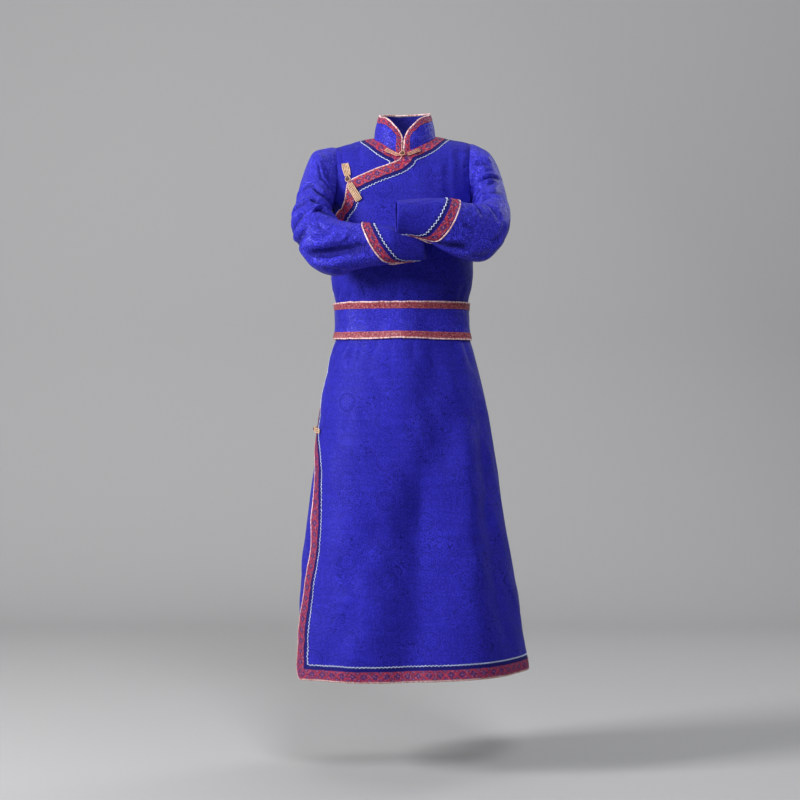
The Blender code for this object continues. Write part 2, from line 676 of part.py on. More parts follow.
class Sleeve:
    """One sleeve as a surface: (u, a), u from the armhole (0) to the wrist (1), a the angle from the
    outer side round by the front."""

    def __init__(self, text, sign, ring, angles, relief=None):
        rows = table(text)
        c = {n: column(rows, n, 0.001) for n in ("xi", "zi", "xo", "zo", "y", "b")}
        tilt = np.radians(column(rows, "tilt"))
        a = np.stack([c["xo"] - c["xi"], 0 * c["y"], c["zo"] - c["zi"]], -1) / 2
        mid = np.stack([(c["xo"] + c["xi"]) / 2, c["y"], (c["zo"] + c["zi"]) / 2], -1)
        e = unit(a)
        v = sign * np.stack([-e[:, 2], 0 * e[:, 0], e[:, 0]], -1)
        b = (np.cos(tilt)[:, None] * np.array([0, -1.0, 0]) + np.sin(tilt)[:, None] * v) * c["b"][:, None]
        self.ring, self.angles = ring, angles                 # armhole points, and their angles
        self.mid = np.concatenate([ring.mean(0)[None], mid])
        self.a, self.b = a, b
        run = np.concatenate([[0], np.cumsum(np.linalg.norm(np.diff(self.mid, axis=0), axis=1))])
        # measured on the outer side, where the cloth is longest
        outer = np.concatenate([ring[:1], mid + a])
        run2 = np.concatenate([[0], np.cumsum(np.linalg.norm(np.diff(outer, axis=0), axis=1))])
        self.knots = (run + run2) / 2
        self.length = float(self.knots[-1])
        self.sign = sign
        self.rel = relief

    def raw(self, w, ang):
        """Points at distances w from the wrist (metres, up the arm) and angles ang."""
        w, ang = np.broadcast_arrays(np.asarray(w, float), np.asarray(ang, float))
        shape = w.shape
        w, ang = w.ravel(), np.mod(ang.ravel(), 2 * math.pi)
        co, si = np.cos(ang), np.sin(ang)
        sq = 1 + 0.045 * np.sin(2 * ang) ** 2
        secs = self.mid[1:, None] + sq[None, :, None] * (co[None, :, None] * self.a[:, None] + si[None, :, None] * self.b[:, None])
        base = np.stack([np.interp(ang, self.angles, self.ring[:, k], period=2 * math.pi) for k in range(3)], -1)
        secs = np.concatenate([base[None], secs])
        k = self.knots
        t = self.length - w
        i = np.clip(np.searchsorted(k, t) - 1, 0, len(k) - 2)
        h = np.diff(k)
        d = np.diff(secs, axis=0) / h[:, None, None]
        m = np.empty_like(secs)
        m[1:-1] = (d[:-1] * h[1:, None, None] + d[1:] * h[:-1, None, None]) / (h[1:] + h[:-1])[:, None, None]
        m[0], m[-1] = d[0], d[-1]
        f = ((t - k[i]) / h[i])[:, None]
        j = np.arange(len(t))
        hh = h[i][:, None]
        out = (secs[i, j] * (1 + 2 * f) * (1 - f) ** 2 + m[i, j] * hh * f * (1 - f) ** 2
               + secs[i + 1, j] * f * f * (3 - 2 * f) - m[i + 1, j] * hh * f * f * (1 - f))
        past = np.maximum(t - k[-1], 0)[:, None]
        out = np.where(past > 0, secs[-1, j] + m[-1, j] * past, out)
        return out.reshape(*shape, 3)

    def normal(self, w, ang):
        w, ang = np.broadcast_arrays(np.asarray(w, float), np.asarray(ang, float))
        d = 0.003
        top = np.minimum(w + d, self.length)
        du = self.raw(top - 2 * d, ang) - self.raw(top, ang)
        dv = self.raw(w, ang + 0.05) - self.raw(w, ang - 0.05)
        return unit(np.cross(du, dv)) * -self.sign

    def at(self, w, ang, out=0.0):
        p, n = self.raw(w, ang), self.normal(w, ang)
        if self.rel is not None:
            out = out + self.rel(self, w, ang)
        return p + n * np.asarray(out)[..., None], n

    def reach(self, ang):
        """Length of the cuff at an angle; the top of the arm is at pi."""
        rows = table(CUFF)
        off = np.degrees(np.abs(np.mod(np.asarray(ang) - math.pi + math.pi, 2 * math.pi) - math.pi))
        return smooth(column(rows, "angle"), column(rows, "reach", 0.001), off)


def armhole(front, back, sign, rows):
    """Points round an armhole from the shoulder by the front to the armpit and up the back, and angles."""
    pf = front.at(np.stack([sign * front.girth(front.y_of_row(rows), sign), front.y_of_row(rows)], -1))[0]
    pb = back.at(np.stack([sign * back.girth(back.y_of_row(rows), sign), back.y_of_row(rows)], -1))[0]
    rf = np.concatenate([[0], np.cumsum(np.linalg.norm(np.diff(pf, axis=0), axis=1))])
    rb = np.concatenate([[0], np.cumsum(np.linalg.norm(np.diff(pb, axis=0), axis=1))])
    af = math.pi * rf / rf[-1]
    ab = 2 * math.pi - math.pi * rb / rb[-1]
    ring = np.concatenate([pf, pb[::-1][1:-1]])
    ang = np.concatenate([af, ab[::-1][1:-1]])
    return ring, ang


class Collar:
    """The stand collar as a surface over (s, h): s along its base from the right end, h up."""

    def __init__(self, base):
        self.base = base
        c = np.array([0.004, -0.004])
        run = np.concatenate([[0], np.cumsum(np.linalg.norm(np.diff(base, axis=0), axis=1))])
        self.run, self.length = run, float(run[-1])
        ang = np.degrees(np.arctan2(np.abs(base[:, 0] - c[0]), -(base[:, 1] - c[1])))
        half = int(np.abs(ang - 180).argmin())
        self.mid = run[half]
        rows = table(COLLAR)
        self.high = smooth(column(rows, "angle"), column(rows, "high", 0.001), ang)
        lean = smooth(column(rows, "angle"), column(rows, "lean", 0.001), ang)
        inward = unit(np.stack([c[0] - base[:, 0] * 0.9, (c[1] - base[:, 1]), 0 * ang], -1))
        up = np.array([0, 0, 1.0])
        self.top = base + self.high[:, None] * up + inward * lean[:, None]
        self.top[:, 0] += (0.004 - self.top[:, 0]) * 0.0

    def edge_height(self, s):
        """Height of the collar's upper edge, rounded at both front ends."""
        s = np.asarray(s, float)
        full = np.interp(s, self.run, np.linalg.norm(self.top - self.base, axis=1))
        near = np.minimum(s, self.length - s)
        r = 0.018
        cut = np.where(near < r, r - np.sqrt(np.clip(r * r - (r - near) ** 2, 0, None)), 0)
        return full - cut * 0.65

    def at(self, sh, out=0.0):
        sh = np.asarray(sh, float).reshape(-1, 2)
        s, h = sh[:, 0], sh[:, 1]
        d = 0.002

        def along(line, s):
            ends = unit(np.stack([line[1] - line[0], line[-1] - line[-2]]))
            q = np.stack([np.interp(s, self.run, line[:, k]) for k in range(3)], -1)
            return q + np.minimum(s, 0)[:, None] * ends[0] + np.maximum(s - self.length, 0)[:, None] * ends[1]

        def p(s, h):
            b, t = along(self.base, s), along(self.top, s)
            ln = np.linalg.norm(t - b, axis=1)
            f = (h / ln)[:, None]
            bow = (0.0025 * np.sin(math.pi * np.clip(h / ln, 0, 1)))[:, None]
            inward = unit(np.stack([0.004 - b[:, 0], -0.004 - b[:, 1], 0 * s], -1))
            return b + (t - b) * f - inward * bow

        s0 = np.clip(s, d, self.length - d)
        du = p(s0 + d, h) - p(s0 - d, h)
        dv = p(s, h + d) - p(s, h - d)
        n = unit(np.cross(dv, du))
        q = p(s, h)
        axis = np.array([0.004, -0.004, 0])
        flip = ((q - axis) * n)[:, :2].sum(1) < 0
        n = np.where(flip[:, None], -n, n)
        return q + n * np.reshape(out, (-1, 1)) * np.ones((len(s), 1)), n


def waist_ring(front, back, z, n, out_of):
    """A level ring round the body at height z, from the left side by the back and the front."""
    def half(h, x_frac):
        y = float(np.interp(-z, -h.p[:, h.COLS // 2, 2], h.down))
        g = np.where(x_frac < 0, h.girth(np.full(len(x_frac), y), -1.0), h.girth(np.full(len(x_frac), y), 1.0))
        p, nn = h.at(np.stack([x_frac * g, np.full(len(x_frac), y)], -1))
        x = x_frac * g
        return p + nn * out_of(h.side, x)[:, None], nn, x
    ff = np.linspace(-1, 1, n + 1)
    pf, nf, _ = half(front, ff)
    pb, nb, _ = half(back, ff[::-1])
    return np.concatenate([pf[:-1], pb[:-1]]), np.concatenate([nf[:-1], nb[:-1]])

# ---------------------------------------------------------------- toggles: cord tabs and knots
# from_x from_y to_x to_y: place of a tab's middle line on the cloth.  wide thick lift: in mm; lift
# is the height of its underside over the under front's cloth.
TABS = """
name              from_x  from_y   to_x   to_y  wide  lift
toggle_neck_loop  -0.0420  0.0735 -0.0120 0.0925   10   1.9
toggle_neck_tab    0.0100  0.0955  0.0400 0.0805   10   7.2
toggle_chest_loop -0.1390  0.1120 -0.1320 0.1500   19   1.0
toggle_chest_tab  -0.1250  0.1730 -0.1010 0.2150   18   7.6
toggle_hip_loop   -0.3160  0.7500 -0.2920 0.7530   11   1.0
toggle_hip_tab    -0.2700  0.7560 -0.2300 0.7610   11   7.6
"""
KNOTS = """
name                    x       y  lift  radius
toggle_neck_knot   -0.0020  0.0940  12.2    4.4
toggle_chest_knot  -0.1290  0.1610   9.2    4.6
toggle_hip_knot    -0.2810  0.7550  12.2    4.4
"""
TAB_THICK = 0.0020
GRID_ROWS = (1.4, 3, 4.5, 6, 8, 10.4, 12.4, 13.8, 15, 16.2, 17.2, 18.3, 19.3, 20.2, 21.1, 22, 22.9,
             23.8)       # rows of the panels' inner points

COLOURS = {
    # name: red, green, blue, roughness
    "brocade": (0.040, 0.036, 0.50, 0.42),
    "ribbon": (0.46, 0.022, 0.050, 0.60),
    "braid": (0.62, 0.68, 0.82, 0.45),
    "satin": (0.80, 0.36, 0.20, 0.35),
    "cord": (0.80, 0.42, 0.16, 0.40),
}


def clear_scene():
    for obj in list(bpy.data.objects):
        bpy.data.objects.remove(obj)


def material(name, look):
    mat = bpy.data.materials.new(name)
    mat.use_nodes = True
    r, g, b, rough = COLOURS[look]
    shader = mat.node_tree.nodes["Principled BSDF"]
    shader.inputs["Base Color"].default_value = (r, g, b, 1)
    shader.inputs["Roughness"].default_value = rough
    mat.diffuse_color = (r, g, b, 1)
    return mat


def place(obj, name, look):
    obj.data.materials.append(material(name, look))
    bpy.data.collections["deel"].objects.link(obj)
    return obj


def shell(name, look, outer, inner, faces):
    """A closed wall: the outer face extruded to the inner one."""
    bm = bmesh.new()
    tag = bm.verts.layers.int.new("place")
    verts = [bm.verts.new(tuple(map(float, p))) for p in outer]
    for k, v in enumerate(verts):
        v[tag] = k
    made = [bm.faces.new([verts[int(i)] for i in f]) for f in faces]
    fresh = bmesh.ops.extrude_face_region(bm, geom=made, use_keep_orig=True)
    for v in (e for e in fresh["geom"] if isinstance(e, bmesh.types.BMVert)):
        v.co = tuple(map(float, inner[v[tag]]))
    loose = [v for v in bm.verts if not v.link_faces]
    bmesh.ops.delete(bm, geom=loose, context="VERTS")
    bmesh.ops.recalc_face_normals(bm, faces=bm.faces)
    bmesh.ops.triangulate(bm, faces=bm.faces)
    mesh = bpy.data.meshes.new(name)
    bm.to_mesh(mesh)
    bm.free()
    mesh.shade_smooth()
    mesh.set_sharp_from_angle(angle=math.radians(50))
    return place(bpy.data.objects.new(name, mesh), name, look)


def cord(name, look, points, radius, ring=False, sides=0):
    """A round cord along a line."""
    data = bpy.data.curves.new(name, "CURVE")
    data.dimensions = "3D"
    line = data.splines.new("POLY")
    line.points.add(len(points) - 1)
    for p, q in zip(line.points, points):
        p.co = (*map(float, q), 1)
    line.use_cyclic_u = ring
    data.bevel_depth = radius
    data.bevel_resolution = sides
    data.use_fill_caps = True
    return place(bpy.data.objects.new(name, data), name, look)


def outward(line, d, ring=False):
    """A line in the flat moved to its outer side by d, with its corners carried out; the side is
    the sign of d."""
    line = np.asarray(line, float)
    if ring:
        seg = unit(np.roll(line, -1, axis=0) - line)
        before, after = np.roll(seg, 1, axis=0), seg
    else:
        seg = unit(np.diff(line, axis=0))
        before, after = np.concatenate([seg[:1], seg]), np.concatenate([seg, seg[-1:]])
    n1, n2 = (np.stack([t[:, 1], -t[:, 0]], -1) for t in (before, after))
    m = unit(n1 + n2)
    return line + m * (d / np.maximum((m * n1).sum(1), 0.5))[:, None]


def seam_normals(front, back, holes):
    """Directions of the wall at the seams, shared by both pieces that meet there."""
    def fix(half, xy, n):
        n = n.copy()
        top = np.where(xy[:, 1] < 0.002)[0]
        if len(top):
            flat_xy = np.stack([xy[top, 0], 0 * top], -1)
            n[top] = unit(front.at(flat_xy)[1] + back.at(flat_xy)[1])
        p = half.at(xy)[0]
        for ring, avg in holes:
            d = np.linalg.norm(p[:, None] - ring[None], axis=-1)
            k = d.argmin(1)
            close = d[np.arange(len(p)), k] < 0.0015
            n[close] = avg[k[close]]
        return n
    return fix


def build():
    clear_scene()
    group = bpy.data.collections.new("deel")
    bpy.context.scene.collection.children.link(group)
    front, back = Half("f"), Half("b")
    front.other = back
    h, tol, tall = 0.042, 0.0015, 2.2
    arm_rows = np.array(ARM_ROWS, float)
    nets = outlines(front, back, h, tol, tall)
    for name, spec in nets.items():
        panel_net(spec, h, tol, tall, 0.058 if name == "back" else 0.042, spec["half"].y_of_row(GRID_ROWS), 0.017)

    # sleeves first, since the panels share their seams
    sleeves = {}
    holes = []
    for side, sign, text in (("left", 1, SLEEVE_LEFT), ("right", -1, SLEEVE_RIGHT)):
        ring, ang = armhole(front, back, sign, arm_rows)
        s = Sleeve(text, sign, ring, ang)
        rows_n = len(arm_rows)
        yf, yb = front.y_of_row(arm_rows), back.y_of_row(arm_rows)
        nf = front.at(np.stack([sign * front.girth(yf, sign), yf], -1))[1]
        nb = back.at(np.stack([sign * back.girth(yb, sign), yb], -1))[1]
        both = np.concatenate([nf, nb[::-1][1:-1]])
        both[0] = unit(nf[0] + nb[0])
        both[rows_n - 1] = unit(nf[-1] + nb[-1])
        avg = unit(both + s.normal(np.full(len(ang), s.length), ang))
        holes.append((ring, avg))
        sleeves[side] = (s, ang, avg)
    fix = seam_normals(front, back, holes)

    def lift(name, xy):
        return over(xy[:, 0], xy[:, 1]) if name == "front_outer" else 0 * xy[:, 0]

    for name, spec in nets.items():
        half, xy, tri = spec["half"], spec["xy"], spec["tri"]
        up = lift(name, xy)
        p, n = half.at(xy, up)
        inner = p - fix(half, xy, n) * CLOTH
        shell(name, "brocade", p, inner, tri)
        for k, d in enumerate(spec["dist"]):
            tail = {"front_outer": "front_outer", "front_under": "front_under"}.get(name) or ("back_hem", "back_neck")[k]
            for kind, look, lo, hi in (("ribbon", "ribbon", 0, TRIMS[0]), ("braid", "braid", TRIMS[1], TRIMS[2])):
                used, faces = parts_of(xy, tri, (d > lo) & (d < hi))
                base, nn = p[used], n[used]
                shell(f"{kind}_{tail}", look, base + nn * (SEAM + RIBBON), base + nn * SEAM, faces)

    # piping along the free edges
    gap = PIPING_R + SEAM

    def edge_cord(name, half, line, side, ease=0.0):
        moved = outward(line, side * gap)
        up = (over(moved[:, 0], moved[:, 1]) if "outer" in name else 0 * moved[:, 0]) - CLOTH / 2
        return cord(name, "satin", half.at(moved, up)[0], PIPING_R)

    e = nets["front_outer"]["edge"]
    start = int(np.argmin(np.linalg.norm(e - np.array([-0.001, 0.087]), axis=1)))
    edge_cord("piping_front_outer", front, e[start:], -1)
    e = nets["front_under"]["edge"]
    start = int(np.argmin(np.linalg.norm(e - np.array(UNDER_EDGE[0]), axis=1)))
    edge_cord("piping_front_under", front, e[start:], 1)
    edge_cord("piping_back_hem", back, nets["back"]["edge"], -1)

    # sleeves and cuffs
    for side, (s, ang, avg) in sleeves.items():
        marks = [s.length - k for k in s.knots[:-1]] + [0.0062]
        marks[1:1] = [s.length - s.knots[1] * 0.5]
        w, a = np.meshgrid(marks, ang, indexing="ij")
        p, n = s.at(w, a)
        n[0] = avg
        rows, cols = w.shape
        faces = [(i * cols + j, i * cols + (j + 1) % cols, (i + 1) * cols + (j + 1) % cols, (i + 1) * cols + j)
                 for i in range(rows - 1) for j in range(cols)]
        shell(f"sleeve_{side}", "brocade", p.reshape(-1, 3), (p - n * CLOTH).reshape(-1, 3), faces)
        reach = s.reach(ang)
        small = np.minimum(1, reach / 0.05)
        t1, t2, t3 = (t * small for t in CUFF_TRIMS)
        far = [reach - t3, reach - t2, reach - t1, reach]
        ws = [0 * reach + 0.0058, 0 * reach, 0 * reach - 0.0008, 0 * reach, far[0] * 0.55, *far]
        wb = [0 * reach + 0.0058, 0 * reach, 0 * reach - 0.0022, *ws[3:]]
        oa = [0, 0, 0.0010] + [0.0020] * 6
        ob = [-CLOTH, -CLOTH, 0.0010] + [0.0020 + CLOTH] * 6
        pa = np.stack([s.at(x, ang, o)[0] for x, o in zip(ws, oa)])
        pb = np.stack([s.at(x, ang, o)[0] for x, o in zip(wb, ob)])
        rows = len(ws)
        faces = [(i * cols + j, i * cols + (j + 1) % cols, (i + 1) * cols + (j + 1) % cols, (i + 1) * cols + j)
                 for i in range(rows - 1) for j in range(cols)]
        shell(f"cuff_{side}", "brocade", pb.reshape(-1, 3), pa.reshape(-1, 3), faces)
        nn = s.normal(np.stack(ws), ang[None] + 0 * np.stack(ws))
        for kind, look, i in (("ribbon", "ribbon", rows - 2), ("braid", "braid", rows - 4)):
            base, m = pb[i:i + 2].reshape(-1, 3), nn[i:i + 2].reshape(-1, 3)
            faces = [(j, (j + 1) % cols, cols + (j + 1) % cols, cols + j) for j in range(cols)]
            shell(f"{kind}_cuff_{side}", look, base + m * (SEAM + RIBBON), base + m * SEAM, faces)
        around = np.stack([ang * CUFF_R, reach], -1)
        around = np.concatenate([around, around + [2 * math.pi * CUFF_R, 0], around + [4 * math.pi * CUFF_R, 0]])
        path = outward(around, -gap - 0.0010)[cols:2 * cols] - [2 * math.pi * CUFF_R, 0]
        cord(f"piping_cuff_{side}", "satin", s.at(path[:, 1], path[:, 0] / CUFF_R, 0.0020 + CLOTH / 2)[0], PIPING_R, ring=True)

    # collar
    neck_r = nets["front_under"]["edge"]
    neck_r = neck_r[:int(np.argmin(np.linalg.norm(neck_r - np.array(UNDER_EDGE[0]), axis=1))) + 1]
    neck_r = neck_r[neck_r[:, 0] < -0.0066][::-1]
    first = np.array([[-0.0058, float(np.interp(-0.0058, flat(NECK_FRONT)[:, 0], flat(NECK_FRONT)[:, 1]))]])
    right = front.at(np.concatenate([first, neck_r]))[0]
    neck_b = nets["back"]["neck"][::-1]
    behind = back.at(neck_b)[0][1:-1]
    e = nets["front_outer"]["edge"]
    neck_l = e[:int(np.argmin(np.linalg.norm(e - np.array([-0.001, 0.087]), axis=1)))]
    neck_l = neck_l[neck_l[:, 0] > 0.0055]
    last = np.array([[0.0047, float(np.interp(0.0047, flat(NECK_FRONT)[:, 0], flat(NECK_FRONT)[:, 1]))]])
    left = np.concatenate([neck_l, last])
    left = front.at(left, over(left[:, 0], left[:, 1]))[0]
    base = np.concatenate([right, behind, left])
    inward = unit(np.stack([0.004 - base[:, 0], -0.004 - base[:, 1], 0 * base[:, 0]], -1))
    base = base + inward * 0.0005 + np.array([0, 0, 0.0005])
    col = Collar(base)
    low = np.stack([col.run, 0 * col.run], -1)
    s_top = np.unique(np.concatenate([np.linspace(0, 0.018, 6), np.linspace(0.018, col.length - 0.018, 19), np.linspace(col.length - 0.018, col.length, 6)]))
    top = np.stack([s_top, col.edge_height(s_top)], -1)
    outline = np.concatenate([low, top[::-1]])
    edge = np.concatenate([low[:1], top, low[-1:]])
    ribbon_line = parallel(edge, COLLAR_RIBBON, 0.03, outline, 0.0006)
    pts = np.stack([np.linspace(0.03, col.length - 0.03, 12), np.full(12, 0.02)], -1)
    xy, tri = cdt(outline, [ribbon_line], pts)
    p, n = col.at(xy)
    shell("collar", "brocade", p, p - n * CLOTH, tri)
    d = distance(xy[tri].mean(1), edge)[0]
    used, faces = parts_of(xy, tri, d < COLLAR_RIBBON)
    shell("ribbon_collar", "ribbon", p[used] + n[used] * (SEAM + RIBBON), p[used] + n[used] * SEAM, faces)
    path = outward(edge, -gap * 1.3)
    path[0] = (edge[0][0] - gap * 1.3, 0.0012)
    path[-1] = (edge[-1][0] + gap * 1.3, 0.0012)
    cord("piping_collar", "satin", col.at(path, -CLOTH / 2)[0], PIPING_R)

    # belt
    def belt_out(side, x):
        if side == "f":
            return BELT_EASE + over(x, 0.5) + 0.0022 * step(-0.10, -0.14, x)
        return BELT_EASE + (LAP + 0.0022) * step(-0.11, -0.168, x)

    belt = {}
    for z in (BELT_TOP, BELT_TOP - BELT_RIBBON, BELT_LOW + BELT_RIBBON, BELT_LOW):
        belt[z] = waist_ring(front, back, z, 15, belt_out)
    rings = list(belt)
    p = np.stack([belt[z][0] for z in rings])
    n = np.stack([belt[z][1] for z in rings])
    n[..., 2] = 0
    n = unit(n)
    cols = p.shape[1]
    faces = [(i * cols + j, i * cols + (j + 1) % cols, (i + 1) * cols + (j + 1) % cols, (i + 1) * cols + j)
             for i in range(3) for j in range(cols)]
    shell("belt", "brocade", (p + n * BELT_THICK).reshape(-1, 3), p.reshape(-1, 3), faces)
    ring_faces = [(j, (j + 1) % cols, cols + (j + 1) % cols, cols + j) for j in range(cols)]
    for name, i, edge_i, up in (("top", 0, 0, 1), ("bottom", 2, 3, -1)):
        q, m = p[i:i + 2].reshape(-1, 3), n[i:i + 2].reshape(-1, 3)
        q = q + m * BELT_THICK
        shell(f"ribbon_belt_{name}", "ribbon", q + m * (SEAM + RIBBON), q + m * SEAM, ring_faces)
        cord(f"piping_belt_{name}", "satin", p[edge_i] + n[edge_i] * BELT_THICK + np.array([0, 0, up * gap]), PIPING_R, ring=True)

    # toggles
    for row in table(TABS):
        a, b = np.array([row["from_x"], row["from_y"]]), np.array([row["to_x"], row["to_y"]])
        along, across = unit(b - a), unit(np.array([-(b - a)[1], (b - a)[0]]))
        taper = np.array([0.62, 0.9, 1.0, 0.95, 0.7])
        mid = a + (b - a) * np.linspace(0, 1, 5)[:, None]
        xy = (mid[:, None] + across * (np.array([-0.5, 0, 0.5])[None, :, None] * row["wide"] * 0.001 * taper[:, None, None])).reshape(-1, 2)
        faces = [(i * 3 + j, i * 3 + j + 1, (i + 1) * 3 + j + 1, (i + 1) * 3 + j) for i in range(4) for j in range(2)]
        low = front.at(xy, row["lift"] * 0.001)[0]
        high = front.at(xy, row["lift"] * 0.001 + TAB_THICK)[0]
        shell(row["name"], "cord", high, low, faces)
    for row in table(KNOTS):
        p = front.at([(row["x"], row["y"])], row["lift"] * 0.001)[0][0]
        bm = bmesh.new()
        bmesh.ops.create_uvsphere(bm, u_segments=10, v_segments=6, radius=row["radius"] * 0.001)
        mesh = bpy.data.meshes.new(row["name"])
        bm.to_mesh(mesh)
        bm.free()
        mesh.shade_smooth()
        ball = place(bpy.data.objects.new(row["name"], mesh), row["name"], "cord")
        ball.location = p


CUFF_R = 0.042                            # mean radius of a forearm, for the slope of the cuff's edge
BELT_TOP, BELT_LOW = -0.3842, -0.4648     # heights of the belt's edges, under its piping
BELT_RIBBON = 0.0135
BELT_THICK = 0.0015
BELT_EASE = 0.0026                        # clear space inside the belt

build()
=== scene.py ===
"""Mongolian deel robe: the looks. Every visible piece is cloth, ribbon, braid, piping or cord, made
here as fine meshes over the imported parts, with its creases, weave and trims."""

import math

import bpy
import numpy as np
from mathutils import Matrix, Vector
from mathutils.geometry import delaunay_2d_cdt


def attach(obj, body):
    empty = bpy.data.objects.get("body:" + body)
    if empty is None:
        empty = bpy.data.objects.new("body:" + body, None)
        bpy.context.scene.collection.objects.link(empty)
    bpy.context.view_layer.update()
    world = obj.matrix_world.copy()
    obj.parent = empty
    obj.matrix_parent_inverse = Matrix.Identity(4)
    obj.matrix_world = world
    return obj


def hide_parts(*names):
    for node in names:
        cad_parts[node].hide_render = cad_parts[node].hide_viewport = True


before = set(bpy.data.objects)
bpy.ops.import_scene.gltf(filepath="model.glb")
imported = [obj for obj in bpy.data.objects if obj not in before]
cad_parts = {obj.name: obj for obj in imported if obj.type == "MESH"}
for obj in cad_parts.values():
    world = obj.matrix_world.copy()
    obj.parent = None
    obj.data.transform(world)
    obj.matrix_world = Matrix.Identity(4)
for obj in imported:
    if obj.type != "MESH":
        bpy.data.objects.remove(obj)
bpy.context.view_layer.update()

FINE = 1.0

# ---------------------------------------------------------------- camera
lens = bpy.data.cameras.new("camera")
lens.lens, lens.sensor_width = 78.75, 36
lens.clip_start, lens.clip_end = 0.1, 60
camera = bpy.data.objects.new("camera", lens)
camera.location = (-0.0072, -4.2, -0.612)
camera.rotation_euler = (math.pi / 2, 0, 0)
bpy.context.scene.collection.objects.link(camera)
bpy.context.scene.camera = camera

# ---------------------------------------------------------------- sizes, in metres
CLOTH = 0.0012            # wall of the brocade with its backing
SEAM = 0.0003             # gap between pieces at a seam
RIBBON = 0.0008           # thickness of the woven ribbon
PIPING_R = 0.0019         # radius of the piping cord
LAP = 0.0050              # how far the outer front's face stands over the under front
SHOULDER_TILT = 0.030     # rise of the left shoulder over the right, per metre across
ARMPIT = 7                # row of the armpit
LAST = 25                 # row of the hem
EXTRA = 26                # one row past the hem, for the piping

# Sections of the body, top to hem, in millimetres. Rows 0 to 7 run from the shoulder seam to the
# armpit and end at the armhole; from row 8 on they are closed rings.
# zf yf: height and depth at the centre front.  zb yb: the same at the centre back.
# xe: half width at the edge.  yfe ybe: depth of the front and back edge.  ze: height of the edge.
# cx: sideways shift.  n m: roundness across, as (1 - |s|^n)^m.
BODY_ROWS = """
row   zf    yf    zb    yb   xe   yfe  ybe    ze   cx    n     m
0     22     0    22     0  160     0    0    -2    0  2.6  1.00
1      2   -38    24    36  160   -23   22   -10    0  2.6  1.00
2    -34   -68    12    62  158   -46   46   -34    0  2.6  1.00
3    -72   -90   -22    84  156   -61   61   -67    0  2.6  0.96
4   -108  -104   -63   101  157   -65   65  -101    0  2.5  0.88
5   -140  -113  -105   111  161   -55   56  -131    0  2.4  0.76
6   -166  -120  -145   117  166   -28   29  -151    0  2.3  0.62
7   -190  -124  -180   119  168     0    0  -158    0  2.2  0.50
8   -212  -126  -208   119  168     0    0  -185    0 2.15 0.465
9   -240  -127  -238   117  168     0    0  -225    0 2.15 0.465
10  -272  -126  -271   113  168     0    0  -268    0 2.15 0.465
11  -306  -122  -306   107  168     0    0  -306    0 2.15 0.465
12  -340  -116  -340   101  165     0    0  -340    0 2.15 0.465
13  -368  -109  -368    96  158     0    0  -368    0 2.15 0.465
14  -398  -105  -398    93  154     0    0  -398    1 2.15 0.465
15  -430  -104  -430    93  154     0    0  -430    2 2.15 0.465
16  -462  -106  -462    95  157     0    0  -462    2 2.15 0.465
17  -494  -113  -494   102  166     0    0  -494    2 2.15 0.465
18  -545  -122  -545   113  179     0    0  -545    3 2.16 0.463
19  -625  -135  -625   127  196     0    0  -625    4 2.18 0.459
20  -725  -150  -725   142  212     0    0  -725    6 2.22 0.450
21  -845  -165  -845   157  229     0    0  -845    6 2.27 0.441
22  -980  -180  -980   172  248     0    0  -980    9 2.32 0.431
23 -1100  -191 -1100   184  262     0    0 -1100   15 2.37 0.422
24 -1190  -199 -1190   193  270     0    0 -1190   20 2.40 0.417
25 -1270  -206 -1270   200  275     0    0 -1270   24 2.42 0.413
26 -1290  -208 -1290   202  277     0    0 -1290   25 2.42 0.413
"""

# Long soft folds of the skirt and the blousing over the belt. side: f front, b back.
# at0 at1: place across at the top and the bottom row, from -1 (right side) to 1 (left side).
# top end: rows between which the fold runs.  wide: share of the half girth.  deep: in mm, out +.
FOLDS = """
side  at0    at1   top  end  wide  deep
f   -0.50  -0.46   17   27  0.17    5.0
f    0.02  -0.08   18   27  0.12   -9.0
f    0.24   0.30   18   27  0.16    6.0
f    0.62   0.66   17   27  0.10   -6.0
f    0.86   0.86   19   27  0.08    4.0
f   -0.25  -0.28   20   27  0.08   -3.5
f   -0.78  -0.80   20   27  0.08   -3.0
b   -0.70  -0.72   18   27  0.11   -7.0
b   -0.42  -0.40   17   27  0.13    7.0
b   -0.10  -0.12   18   27  0.11   -9.0
b    0.20   0.22   17   27  0.14    8.0
b    0.52   0.50   18   27  0.11   -8.0
b    0.82   0.80   18   27  0.09    5.0
f   -0.30  -0.34    8   14  0.12    3.0
f    0.10   0.08    9   14  0.09   -3.0
f    0.42   0.46    8   14  0.10    3.0
b   -0.50  -0.50    7   14  0.12    3.5
b   -0.12  -0.10    8   14  0.10   -3.5
b    0.34   0.36    7   14  0.13    4.0
b    0.70   0.68    9   14  0.08   -3.0
"""


def table(text):
    """Rows of a text table as dictionaries, by the names in its first line."""
    lines = [line.split() for line in text.strip().splitlines()]
    rows = []
    for line in lines[1:]:
        row = {}
        for name, value in zip(lines[0], line):
            try:
                row[name] = float(value)
            except ValueError:
                row[name] = value
        rows.append(row)
    return rows


def column(rows, name, scale=1.0):
    return np.array([r[name] for r in rows], float) * scale


